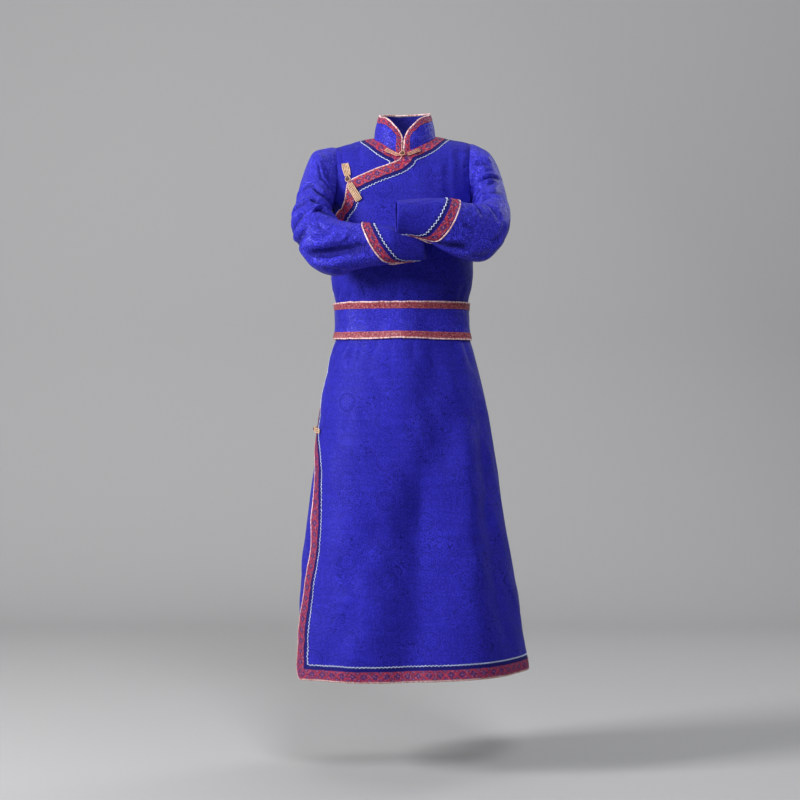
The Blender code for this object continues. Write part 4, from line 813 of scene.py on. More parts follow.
class Collar:
    """The stand collar as a surface over (s, h): s along its base from the right end, h up."""

    def __init__(self, base):
        self.base = base
        c = np.array([0.004, -0.004])
        run = np.concatenate([[0], np.cumsum(np.linalg.norm(np.diff(base, axis=0), axis=1))])
        self.run, self.length = run, float(run[-1])
        ang = np.degrees(np.arctan2(np.abs(base[:, 0] - c[0]), -(base[:, 1] - c[1])))
        half = int(np.abs(ang - 180).argmin())
        self.mid = run[half]
        rows = table(COLLAR)
        self.high = smooth(column(rows, "angle"), column(rows, "high", 0.001), ang)
        lean = smooth(column(rows, "angle"), column(rows, "lean", 0.001), ang)
        inward = unit(np.stack([c[0] - base[:, 0] * 0.9, (c[1] - base[:, 1]), 0 * ang], -1))
        up = np.array([0, 0, 1.0])
        self.top = base + self.high[:, None] * up + inward * lean[:, None]
        self.top[:, 0] += (0.004 - self.top[:, 0]) * 0.0

    def edge_height(self, s):
        """Height of the collar's upper edge, rounded at both front ends."""
        s = np.asarray(s, float)
        full = np.interp(s, self.run, np.linalg.norm(self.top - self.base, axis=1))
        near = np.minimum(s, self.length - s)
        r = 0.018
        cut = np.where(near < r, r - np.sqrt(np.clip(r * r - (r - near) ** 2, 0, None)), 0)
        return full - cut * 0.65

    def at(self, sh, out=0.0):
        sh = np.asarray(sh, float).reshape(-1, 2)
        s, h = sh[:, 0], sh[:, 1]
        d = 0.002

        def along(line, s):
            ends = unit(np.stack([line[1] - line[0], line[-1] - line[-2]]))
            q = np.stack([np.interp(s, self.run, line[:, k]) for k in range(3)], -1)
            return q + np.minimum(s, 0)[:, None] * ends[0] + np.maximum(s - self.length, 0)[:, None] * ends[1]

        def p(s, h):
            b, t = along(self.base, s), along(self.top, s)
            ln = np.linalg.norm(t - b, axis=1)
            f = (h / ln)[:, None]
            bow = (0.0025 * np.sin(math.pi * np.clip(h / ln, 0, 1)))[:, None]
            inward = unit(np.stack([0.004 - b[:, 0], -0.004 - b[:, 1], 0 * s], -1))
            return b + (t - b) * f - inward * bow

        s0 = np.clip(s, d, self.length - d)
        du = p(s0 + d, h) - p(s0 - d, h)
        dv = p(s, h + d) - p(s, h - d)
        n = unit(np.cross(dv, du))
        q = p(s, h)
        axis = np.array([0.004, -0.004, 0])
        flip = ((q - axis) * n)[:, :2].sum(1) < 0
        n = np.where(flip[:, None], -n, n)
        return q + n * np.reshape(out, (-1, 1)) * np.ones((len(s), 1)), n


def waist_ring(front, back, z, n, out_of):
    """A level ring round the body at height z, from the left side by the back and the front."""
    def half(h, x_frac):
        y = float(np.interp(-z, -h.p[:, h.COLS // 2, 2], h.down))
        g = np.where(x_frac < 0, h.girth(np.full(len(x_frac), y), -1.0), h.girth(np.full(len(x_frac), y), 1.0))
        p, nn = h.at(np.stack([x_frac * g, np.full(len(x_frac), y)], -1))
        x = x_frac * g
        return p + nn * out_of(h.side, x)[:, None], nn, x
    ff = np.linspace(-1, 1, n + 1)
    pf, nf, _ = half(front, ff)
    pb, nb, _ = half(back, ff[::-1])
    return np.concatenate([pf[:-1], pb[:-1]]), np.concatenate([nf[:-1], nb[:-1]])


# ---------------------------------------------------------------- toggles and belt
# from_x from_y to_x to_y: place of a tab's middle line on the cloth.  wide: mm.  lift: height of its
# underside over the under front's cloth.
TABS = """
name              from_x  from_y   to_x   to_y  wide  lift
toggle_neck_loop  -0.0420  0.0735 -0.0120 0.0925   10   1.9
toggle_neck_tab    0.0100  0.0955  0.0400 0.0805   10   7.2
toggle_chest_loop -0.1390  0.1120 -0.1320 0.1500   19   1.0
toggle_chest_tab  -0.1250  0.1730 -0.1010 0.2150   18   7.6
toggle_hip_loop   -0.3160  0.7500 -0.2920 0.7530   11   1.0
toggle_hip_tab    -0.2700  0.7560 -0.2300 0.7610   11   7.6
"""
KNOTS = """
name                    x       y  lift  radius
toggle_neck_knot   -0.0020  0.0940  12.2    4.4
toggle_chest_knot  -0.1290  0.1610   9.2    4.6
toggle_hip_knot    -0.2810  0.7550  12.2    4.4
"""
CUFF_R = 0.042                            # mean radius of a forearm, for the slope of the cuff's edge
BELT_TOP, BELT_LOW = -0.3842, -0.4648     # heights of the belt's edges, under its piping
BELT_RIBBON = 0.0135
BELT_THICK = 0.0015
BELT_EASE = 0.0026                        # clear space inside the belt


def outward(line, d, ring=False):
    """A line in the flat moved to its outer side by d, with its corners carried out; the side is
    the sign of d."""
    line = np.asarray(line, float)
    if ring:
        seg = unit(np.roll(line, -1, axis=0) - line)
        before, after = np.roll(seg, 1, axis=0), seg
    else:
        seg = unit(np.diff(line, axis=0))
        before, after = np.concatenate([seg[:1], seg]), np.concatenate([seg, seg[-1:]])
    n1, n2 = (np.stack([t[:, 1], -t[:, 0]], -1) for t in (before, after))
    m = unit(n1 + n2)
    return line + m * (d / np.maximum((m * n1).sum(1), 0.5))[:, None]

# ---------------------------------------------------------------- creases
# Creases of the body, placed on the cloth. side: f front, b back.  x0 y0 x1 y1: its ends, in mm
# across and down.  bow: how far its middle is off the straight line.  wide: half width.
# deep: mm, a trough is negative.  lip: how much stands up along it, as a share.
BODY_CREASES = """
side   x0    y0    x1    y1   bow  wide  deep  lip
f    -148     3  -141   126     2     7  -3.6  0.6
f    -107    51  -100   124     2     8  -3.8  0.6
f    -127    50  -122   100     0     6  -1.8  0.4
f     104   108   114   222     5     9  -3.4  0.5
f     131    72   148   160     4     8  -2.8  0.4
f     152   108   169   205     6     6  -2.8  0.4
f      60   120    84   176    -6    10  -1.8  0.4
f      20   210    66   250     6    10  -2.0  0.4
f    -128   448  -120   400    -3     8  -3.2  0.5
f    -176   443  -156   404    -1     6  -2.6  0.5
f     -45   448   -66   392     0     9  -4.2  0.5
f     -16   448    -7   384    -2     8  -4.4  0.4
f      44   447    52   400    -2     9  -2.8  0.4
f     101   446   120   396    -2     9  -2.8  0.4
f     147   445   169   404    -3     7  -2.4  0.4
f     -88   446   -92   404     1     7  -2.4  0.4
f    -130   545  -178   621    -1     6   3.6  0.3
f    -120   542  -134   617     1     6  -2.8  0.4
f    -165   545  -205   578    -1     5  -2.6  0.5
f     -96   543  -120   612     0     7  -1.6  0.3
f     -60   543   -74   600     1     8  -1.2  0.3
f     -26   544   -36   608    -1     9  -1.6  0.3
f      20   544    24   590     1     7  -2.0  0.4
f      62   546    70   612     0     9  -1.8  0.3
f     118   545   132   622    -1     9  -2.0  0.3
f     160   545   182   612     2     7  -2.4  0.4
f     -58   972  -138  1150     6    30  -9.0  0.1
f    -126  1145   -92  1222    10    26  -4.5  0.1
f      34   840    22  1336     0    34 -18.0  0.1
f      30   900    16  1336     0    84 -22.0  0.0
f     -98  1010  -108  1336     0    50  14.0  0.0
f     196   700   226  1240     6    20  -5.5  0.3
f      -6   300     2   860     0    44   9.0  0.0
f     140   720   166  1336     0    44  17.0  0.0
f    -196   700  -238  1180    -4    16  -3.0  0.3
f    -120   690  -150   800     4    12  -2.0  0.4
b    -150   100   -90   220    12    10  -3.4  0.5
b     150    95    95   215   -12    10  -3.4  0.5
b    -120   150   -70   250     8     9  -2.6  0.5
b     118   150    72   245    -8     9  -2.6  0.5
b    -142    30  -136   110     2     8  -2.6  0.5
b     142    30   136   110    -2     8  -2.6  0.5
b     -60   330   -44   424     4     9  -3.6  0.4
b      30   335    40   424    -4     9  -3.6  0.4
b     100   345    86   424     4     8  -3.0  0.4
b    -120   350  -104   424    -3     8  -3.0  0.4
b    -110   508   -95   640     6    11  -3.4  0.5
b     -30   508   -20   700     6    13  -4.0  0.5
b      60   508    75   660    -6    12  -3.6  0.5
b     130   508   150   620    -6    10  -3.0  0.4
b    -165   508  -182   610     4    10  -3.0  0.4
b     -60   900   -96  1240     8    24  -7.0  0.3
b      96   940   120  1260    -6    26  -7.0  0.3
"""

# Creases of the sleeves. arm: l left, r right.  a0 a1: degrees round the arm, from its outer side
# by the front.  w0 w1: mm up the arm from the wrist.
SLEEVE_CREASES = """
arm   a0    w0    a1    w1   bow  wide  deep  lip
r     40   519    76   566     0     8   2.6  0.3
r     78   483   132   462     5     7  -5.0  0.7
r     68   424   150   402    -8     7  -4.8  0.7
r     87   373   158   340    -6     7  -4.6  0.7
r    108   322   168   268     6     8  -6.0  0.6
r    106   304   134   326    -1     5  -3.2  0.6
r     58   257   115   189    -5     6   2.6  0.3
r     51   251    78   129    10    12  -6.5  0.5
r     42   231    63   157     2    11   3.6  0.2
r    141   189    94   193    16     5   2.2  0.3
r     -14   410    66   437    -4     6  -3.8  0.6
r      -8   346    93   354     4     6  -3.8  0.5
r     -12   326    90   313    -4     6  -3.6  0.5
r     -10   306    86   272    -3     6  -3.6  0.5
r    112   264   123   211    -4     5  -2.4  0.5
r     88   253   115   213    -5     5  -2.4  0.5
r     50   512    78   459     4     7  -2.6  0.4
r     94   153    60   115     8     7  -2.4  0.4
r     36   217    20   177     5     6  -2.4  0.4
r    200   330   262   300     8     9  -3.6  0.5
r    205   290   262   262     6     8  -3.6  0.5
r    200   250   250   235     6     8  -3.0  0.5
r    280   400   338   372     6     9  -2.8  0.5
r    285   330   345   330     8    10  -3.0  0.5
r    290   220   340   205     6     8  -2.6  0.4
r    200   480   262   505     8     9  -3.0  0.5
l     66   537    38   466     6     6  -3.6  0.6
l     80   524    30   448    14     5  -2.8  0.5
l     108   499     2   430    24     6  -5.4  0.8
l    136   345    30   388    12     7  -3.6  0.6
l    130   255    82   246     0     7  -3.0  0.5
l    148   193   111   199    -5     7  -4.0  0.6
l     46   102    58   150    -5     6   3.4  0.3
l      7    85    48   159    -9     9  -4.8  0.5
l     58   202    56   255     0     8  -2.8  0.4
l     29   165    42   208     6     8  -2.8  0.4
l     93   138    84   170    -2     6  -2.4  0.4
l     75   405    -2   416    -6     6  -2.8  0.5
l     96   420   156   396    -6     7  -4.0  0.6
l    100   370   160   340    -6     7  -4.2  0.6
l    110   322   165   284     5     8  -4.8  0.6
l    200   335   262   300     8     9  -3.6  0.5
l    205   290   262   262     6     8  -3.4  0.5
l    200   250   250   235     6     8  -3.0  0.5
l    280   400   338   372     6     9  -2.8  0.5
l    285   320   345   320     8    10  -3.0  0.5
l    200   480   262   500     8     9  -3.0  0.5
"""

# Small unevenness of the hanging cloth: soft waves. across down: mm a wave.  high: mm.  turn: where it starts.
UNEVEN = """
across  down  high  turn
171      263   0.9   0.4
-233     139   0.8   1.9
97       181   0.5   3.1
-71      113   0.45  0.7
53      -151   0.35  2.2
-39       67   0.22  4.4
29       -43   0.16  1.3
"""


def crease(dx0, dy0, ex, ey, bow, wide, deep, lip):
    """Height of one crease at places given from its first end; (ex, ey) is its other end."""
    length = math.hypot(ex, ey)
    tx, ty = ex / length, ey / length
    s = (dx0 * tx + dy0 * ty) / length
    d = -dx0 * ty + dy0 * tx - bow * 4 * s * (1 - s)
    ends = step(-0.12, 0.24, s) * step(1.14, 0.74, s)
    swell = 0.80 + 0.20 * np.sin(3.1 * s + wide)
    width = wide * (0.8 + 0.45 * np.clip(s, 0, 1))
    main = np.exp(-(np.abs(d / width) ** 1.8))
    side = np.exp(-(((d - 2.0 * width) / (1.3 * width)) ** 2)) + 0.55 * np.exp(-(((d + 2.1 * width) / (1.4 * width)) ** 2))
    return deep * swell * ends * (main - lip * side * 0.6)


def uneven(u, v, size=1.0):
    out = 0 * u
    for k, r in enumerate(table(UNEVEN)):
        bend = 0.9 * np.sin(v / (61.0 + 13 * k) + u / (83.0 + 9 * k))
        out = out + r["high"] * np.sin(2 * math.pi * (u / r["across"] + v / r["down"]) + r["turn"] + bend)
    return out * size


# Small dents of silk that has been worn and folded: ridges that wander.  turns: waves round the
# sleeve.  down: mm of a wave down it, over two pi.  high: mm.  start: where it begins.
DENTS = """
turns  down  high  start
5       41   0.62   0.3
-7      33   0.55   1.9
9      -29   0.46   4.1
-4     -37   0.55   2.6
12      23   0.30   0.9
-13     19   0.26   5.2
"""


def dents(th, v):
    """Dents at an angle round and a place down, in mm; they close round the angle."""
    out = 0 * th
    for r in table(DENTS):
        bend = 1.3 * np.sin(2 * th + v / 47.0 + r["start"]) + 0.9 * np.sin(3 * th - v / 31.0 + 2 * r["start"])
        wave = np.sin(r["turns"] * th + v / r["down"] + r["start"] + bend)
        out = out + r["high"] * (0.6 - np.sqrt(wave * wave + 0.05))
    most = 0.55 + 0.45 * np.sin(th + v / 73.0 + 0.7 * np.sin(v / 37.0)) * np.sin(2 * th - v / 91.0 + 1.1)
    return out * most


def body_creases(half, f, t):
    """All creases of one half, in metres, on its dense grid."""
    x = np.where(f[None] < 0, f[None] * half.right[:, None], f[None] * half.left[:, None]) * 1000
    y = half.down[:, None] * 1000 + 0 * x
    out = uneven(x, y) * 0.001 * (0.55 + 0.45 * step(450, 700, y))
    # dents on the chest and the shoulders, few on the skirt
    out += dents(x / 62.0 + 0.7, y) * 0.001 * (0.16 + 0.62 * step(450, 330, y))
    # the trimmed hem waves a little
    out += 0.0011 * np.sin(x / 23.0 + 1.3 * np.sin(x / 57.0)) * step(1180, 1290, y)
    for r in table(BODY_CREASES):
        if r["side"] != half.side:
            continue
        lo_y, hi_y = min(r["y0"], r["y1"]) - 90, max(r["y0"], r["y1"]) + 90
        rows = np.where((y[:, 0] > lo_y) & (y[:, 0] < hi_y))[0]
        if len(rows):
            k = slice(rows[0], rows[-1] + 1)
            out[k] += crease(x[k] - r["x0"], y[k] - r["y0"], r["x1"] - r["x0"], r["y1"] - r["y0"],
                             r["bow"], r["wide"], r["deep"], r["lip"]) * 0.001
    fade = step(0.0, 0.06, 1 - np.abs(f))[None, :]
    # the cloth stands up a little on both sides of the armhole's seam
    off = (1 - np.abs(f))[None] * np.where(f[None] < 0, half.right[:, None], half.left[:, None]) * 1000
    seam = 0.0020 * step(0, 7, off) * step(30, 11, off) * (step(7.6, 6.6, t) * step(0.0, 0.8, t))[:, None]
    seam = seam * (0.8 + 0.3 * np.sin(y / 4.6 + 2 * np.sin(y / 19.0)))
    # the cloth bunches a little under the right arm, across the side seam
    pinch = 0.0045 * step(7.0, 7.7, t)[:, None] * step(10.6, 8.6, t)[:, None] * np.exp(-(((1 + f) / 0.14) ** 2))[None]
    return out * fade + seam + pinch


def sleeve_creases(arm):
    rows = [r for r in table(SLEEVE_CREASES) if r["arm"] == arm]
    scale = 0.95                              # mm of cloth a degree round the arm

    def relief(sleeve, w, ang):
        w, ang = np.broadcast_arrays(np.asarray(w, float) * 1000, np.degrees(np.asarray(ang, float)))
        # soft waves that close round the arm
        th = np.radians(ang)
        out = 0.45 * np.sin(3 * th + w / 31.0 + 1.0) + 0.35 * np.sin(5 * th - w / 22.0) + 0.22 * np.sin(8 * th + w / 13.0 + 2 * np.sin(w / 47.0))
        for r in rows:
            mid = (r["a0"] + r["a1"]) / 2
            off = (np.mod(ang - mid + 180, 360) - 180) + mid - r["a0"]
            out = out + crease(off * scale, w - r["w0"], (r["a1"] - r["a0"]) * scale, r["w1"] - r["w0"],
                               r["bow"], r["wide"] * 1.12, r["deep"] * (2.2 if r["deep"] < 0 else 1.4), r["lip"] * 1.1)
        out = out + dents(th, w) * 1.5 * (1.0 - 0.5 * step(90, 20, w))
        left = sleeve.length * 1000 - w
        fade = step(0, 22, left) * step(0, 18, w)
        seam = 2.2 * step(0, 7, left) * step(30, 11, left) * (0.8 + 0.3 * np.sin(24 * th + 2 * np.sin(7 * th)))
        return (out * fade + seam) * 0.001
    return relief

# ---------------------------------------------------------------- meshes
def add_mesh(name, verts, polys, vert_of, uvs, looks, look_of=None, sharp=50):
    """A mesh from polygons given by corners. vert_of gives each corner's point, uvs its places."""
    polys = [np.asarray(p) for p in polys if len(p)]
    sizes = np.concatenate([np.full(len(p), p.shape[1]) for p in polys])
    corners = np.concatenate([p.ravel() for p in polys])
    mesh = bpy.data.meshes.new(name)
    mesh.vertices.add(len(verts))
    mesh.vertices.foreach_set("co", np.asarray(verts, np.float32).ravel())
    mesh.loops.add(len(corners))
    mesh.loops.foreach_set("vertex_index", vert_of[corners].astype(np.int32))
    mesh.polygons.add(len(sizes))
    mesh.polygons.foreach_set("loop_start", np.concatenate([[0], np.cumsum(sizes)[:-1]]).astype(np.int32))
    if look_of is not None:
        mesh.polygons.foreach_set("material_index", np.concatenate(
            [np.full(len(p), k) if np.isscalar(k) else k for p, k in zip(polys, look_of)]).astype(np.int32))
    mesh.update(calc_edges=True)
    for layer, uv in uvs.items():
        data = mesh.uv_layers.new(name=layer).data
        data.foreach_set("uv", np.asarray(uv, np.float32)[corners].ravel())
    mesh.shade_smooth()
    mesh.set_sharp_from_angle(angle=math.radians(sharp))
    for look in looks:
        mesh.materials.append(LOOKS[look])
    obj = bpy.data.objects.new(name, mesh)
    bpy.context.scene.collection.objects.link(obj)
    return obj


def wall(name, outer, inner, polys, uvs, looks, vert_of=None, sharp=50):
    """A closed wall between two surfaces that share their polygons. The first look is outside and
    the last inside."""
    outer, inner, polys = np.asarray(outer, float), np.asarray(inner, float), np.asarray(polys)
    vert_of = np.arange(len(outer)) if vert_of is None else vert_of
    n, c = len(outer), len(vert_of)
    v = vert_of[polys]
    fn = np.cross(outer[v[:, 1]] - outer[v[:, 0]], outer[v[:, 2]] - outer[v[:, 0]])
    if (fn * (outer - inner)[v[:, 0]]).sum() < 0:
        polys = polys[:, ::-1]
    a, b = polys.ravel(), np.roll(polys, -1, axis=1).ravel()
    va, vb = vert_of[a], vert_of[b]
    key = np.minimum(va, vb).astype(np.int64) * (n + 1) + np.maximum(va, vb)
    _, index, count = np.unique(key, return_index=True, return_counts=True)
    rim = index[count == 1]
    ra, rb = a[rim], b[rim]
    rims = np.stack([rb, ra, ra + c, rb + c], -1)
    return add_mesh(name, np.concatenate([outer, inner]), [polys, polys[:, ::-1] + c, rims],
                    np.concatenate([vert_of, vert_of + n]), {k: np.concatenate([u, u]) for k, u in uvs.items()},
                    looks, (0, len(looks) - 1, 0), sharp)


def grid_polys(rows, cols, ring):
    """Quads of a grid; a ring has one more column of corners than of points."""
    i, j = np.meshgrid(np.arange(rows - 1), np.arange(cols if ring else cols - 1), indexing="ij")
    w = cols + 1 if ring else cols
    a = (i * w + j).ravel()
    polys = np.stack([a, a + 1, a + w + 1, a + w], -1)
    if not ring:
        return polys, np.arange(rows * cols)
    r, q = np.meshgrid(np.arange(rows), np.arange(cols + 1), indexing="ij")
    return polys, (r * cols + q % cols).ravel()


def tube(name, line, radius, look, ring=False, sides=12, twist=0.0, ply=0.0):
    """A round cord along a line, closed at its ends. twist: metres a turn of its strands."""
    line = np.asarray(line, float)
    n = len(line)
    if ring:
        tan = unit(np.roll(line, -1, axis=0) - np.roll(line, 1, axis=0))
    else:
        tan = unit(np.gradient(line, axis=0))
    start = np.array([0.0, 0, 1.0]) if abs(tan[0, 2]) < 0.9 else np.array([0.0, 1.0, 0])
    side = unit(start - tan[0] * (start @ tan[0]))
    sides_of = [side]
    for k in range(1, n):
        side = unit(side - tan[k] * (side @ tan[k]))
        sides_of.append(side)
    e1 = np.array(sides_of)
    turn = np.zeros(n)
    if ring:
        last = unit(side - tan[0] * (side @ tan[0]))
        gap = math.atan2(float(np.cross(last, e1[0]) @ tan[0]), float(last @ e1[0]))
        turn = gap * np.arange(n) / n
    e2 = np.cross(tan, e1)
    step_len = np.linalg.norm(np.diff(line, axis=0, append=line[:1] if ring else line[-1:]), axis=1)
    run = np.concatenate([[0], np.cumsum(step_len)])[:n]
    total = float(step_len.sum())
    th = np.linspace(0, 2 * math.pi, sides + 1)[:-1]
    ang = th[None] + turn[:, None]
    rad = np.full((n, 1), radius) if np.isscalar(radius) else np.asarray(radius, float)[:, None]
    rad = np.broadcast_to(rad, ang.shape).copy()
    if ply:
        turns = round(total / twist) if ring else total / twist
        rad *= 1 + ply * np.cos(2 * th[None] - 2 * math.pi * turns * run[:, None] / total)
    p = line[:, None] + (np.cos(ang) * rad)[..., None] * e1[:, None] + (np.sin(ang) * rad)[..., None] * e2[:, None]
    rows = n + 1 if ring else n
    i, j = np.meshgrid(np.arange(rows - 1), np.arange(sides), indexing="ij")
    w = sides + 1
    a = (i * w + j).ravel()
    polys = [np.stack([a, a + w, a + w + 1, a + 1], -1)]
    r, q = np.meshgrid(np.arange(rows), np.arange(w), indexing="ij")
    vert_of = ((r % n) * sides + q % sides).ravel()
    uv = np.stack([np.concatenate([run, [total]])[r[:, 0]][:, None] + 0 * q, q * (2 * math.pi * float(np.mean(rad)) / sides)], -1).reshape(-1, 2)
    verts = p.reshape(-1, 3)
    if not ring:
        tips = np.stack([line[0] - tan[0] * float(rad[0].mean()) * 0.5, line[-1] + tan[-1] * float(rad[-1].mean()) * 0.5])
        base, c = len(verts), len(vert_of)
        verts = np.concatenate([verts, tips])
        vert_of = np.concatenate([vert_of, [base, base + 1]])
        uv = np.concatenate([uv, [[0, 0], [total, 0]]])
        j = np.arange(sides)
        polys.append(np.stack([j + 1, 0 * j + c, j], -1))
        last = (rows - 1) * w
        polys.append(np.stack([last + j, 0 * j + c + 1, last + j + 1], -1))
    v = vert_of[polys[0]]
    mid = verts[v].mean(1)
    centre = np.repeat(line, sides, axis=0) if ring else np.repeat(line[:-1], sides, axis=0)
    fn = np.cross(verts[v[:, 1]] - verts[v[:, 0]], verts[v[:, 2]] - verts[v[:, 0]])
    if (fn * (mid - centre)).sum() < 0:
        polys = [q[:, ::-1] for q in polys]
    return add_mesh(name, verts, polys, vert_of, {"trim": uv}, [look], sharp=70)


def join(name, objects):
    """Several meshes as one piece."""
    first = objects[0]
    with bpy.context.temp_override(active_object=first, object=first, selected_objects=objects,
                                   selected_editable_objects=objects):
        if len(objects) > 1:
            bpy.ops.object.join()
    first.name = name
    first.data.name = name
    return first


def stand_for(piece, slot, *nodes):
    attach(piece, "root")
    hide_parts(*nodes)
    return piece


def cut_area(poly):
    x, y = np.asarray(poly, float).T
    return float(abs(np.dot(x, np.roll(y, -1)) - np.dot(y, np.roll(x, -1))) / 2)

# ---------------------------------------------------------------- materials
class Num:
    """A number in a material, worked out by Math nodes."""

    def __init__(self, tree, socket):
        self.tree, self.socket = tree, socket

    def op(self, kind, *others, clamp=False):
        node = self.tree.nodes.new("ShaderNodeMath")
        node.operation, node.use_clamp, node.hide = kind, clamp, True
        for k, value in enumerate([self, *others]):
            if isinstance(value, Num):
                self.tree.links.new(value.socket, node.inputs[k])
            else:
                node.inputs[k].default_value = float(value)
        return Num(self.tree, node.outputs[0])

    def __add__(self, o):
        return self.op("ADD", o)

    __radd__ = __add__

    def __sub__(self, o):
        return self.op("SUBTRACT", o)

    def __rsub__(self, o):
        return self.op("MULTIPLY", -1.0) + o

    def __mul__(self, o):
        return self.op("MULTIPLY", o)

    __rmul__ = __mul__

    def __truediv__(self, o):
        return self.op("DIVIDE", o)

    def __abs__(self):
        return self.op("ABSOLUTE")

    def frac(self):
        return self.op("FRACT")

    def floor(self):
        return self.op("FLOOR")

    def sin(self):
        return self.op("SINE")

    def cos(self):
        return self.op("COSINE")

    def least(self, o):
        return self.op("MINIMUM", o)

    def most(self, o):
        return self.op("MAXIMUM", o)

    def rise(self, a, b):
        """0 below a and 1 above b, soft between."""
        node = self.tree.nodes.new("ShaderNodeMapRange")
        node.interpolation_type, node.hide = "SMOOTHSTEP", True
        self.tree.links.new(self.socket, node.inputs["Value"])
        node.inputs["From Min"].default_value, node.inputs["From Max"].default_value = a, b
        return Num(self.tree, node.outputs[0])

    def band(self, a, b, soft):
        """1 between a and b, 0 outside."""
        mid, half = (a + b) / 2, (b - a) / 2
        return 1.0 - abs(self - mid).rise(half - soft, half + soft)


def angle_of(x, y):
    return y.op("ARCTAN2", x)


def length_of(x, y):
    return (x * x + y * y).op("SQRT")


class Look:
    """A material being made: a Principled shader, and helpers that read the cloth's own places."""

    def __init__(self, name, rough, **constant):
        self.mat = bpy.data.materials.new(name)
        self.mat.use_nodes = True
        self.tree = self.mat.node_tree
        self.shader = self.tree.nodes["Principled BSDF"]
        self.shader.inputs["Roughness"].default_value = rough
        for key, value in constant.items():
            self.shader.inputs[key.replace("_", " ")].default_value = value

    def places(self, layer, scale=1000.0):
        """The two places of a UV map in millimetres."""
        uv = self.tree.nodes.new("ShaderNodeUVMap")
        uv.uv_map = layer
        split = self.tree.nodes.new("ShaderNodeSeparateXYZ")
        self.tree.links.new(uv.outputs[0], split.inputs[0])
        return Num(self.tree, split.outputs[0]) * scale, Num(self.tree, split.outputs[1]) * scale

    def noise(self, layer, scale, detail=2.0, rough=0.5, stretch=(1, 1)):
        """Soft noise over a UV map, scale in bumps a metre."""
        uv = self.tree.nodes.new("ShaderNodeUVMap")
        uv.uv_map = layer
        size = self.tree.nodes.new("ShaderNodeMapping")
        size.inputs["Scale"].default_value = (stretch[0], stretch[1], 1)
        tex = self.tree.nodes.new("ShaderNodeTexNoise")
        tex.noise_dimensions = "2D"
        tex.inputs["Scale"].default_value = scale
        tex.inputs["Detail"].default_value = detail
        tex.inputs["Roughness"].default_value = rough
        self.tree.links.new(uv.outputs[0], size.inputs[0])
        self.tree.links.new(size.outputs[0], tex.inputs["Vector"])
        return Num(self.tree, tex.outputs[0])

    def mix(self, share, a, b):
        """A colour between a and b; each is a triple or a colour made here."""
        node = self.tree.nodes.new("ShaderNodeMix")
        node.data_type, node.clamp_factor, node.hide = "RGBA", True, True
        self.tree.links.new(share.socket, node.inputs["Factor"])
        for key, value in (("A", a), ("B", b)):
            socket = [s for s in node.inputs if s.name == key and s.type == "RGBA"][0]
            if isinstance(value, tuple):
                socket.default_value = (*value, 1)
            else:
                self.tree.links.new(value, socket)
        return [s for s in node.outputs if s.type == "RGBA"][0]

    def colour(self, socket):
        self.tree.links.new(socket, self.shader.inputs["Base Color"])

    def rough(self, num):
        self.tree.links.new(num.socket, self.shader.inputs["Roughness"])

    def bump(self, num, height, strength=1.0):
        """num times height, in metres, as relief."""
        node = self.tree.nodes.new("ShaderNodeBump")
        node.inputs["Distance"].default_value = height
        node.inputs["Strength"].default_value = strength
        self.tree.links.new(num.socket, node.inputs["Height"])
        self.tree.links.new(node.outputs[0], self.shader.inputs["Normal"])


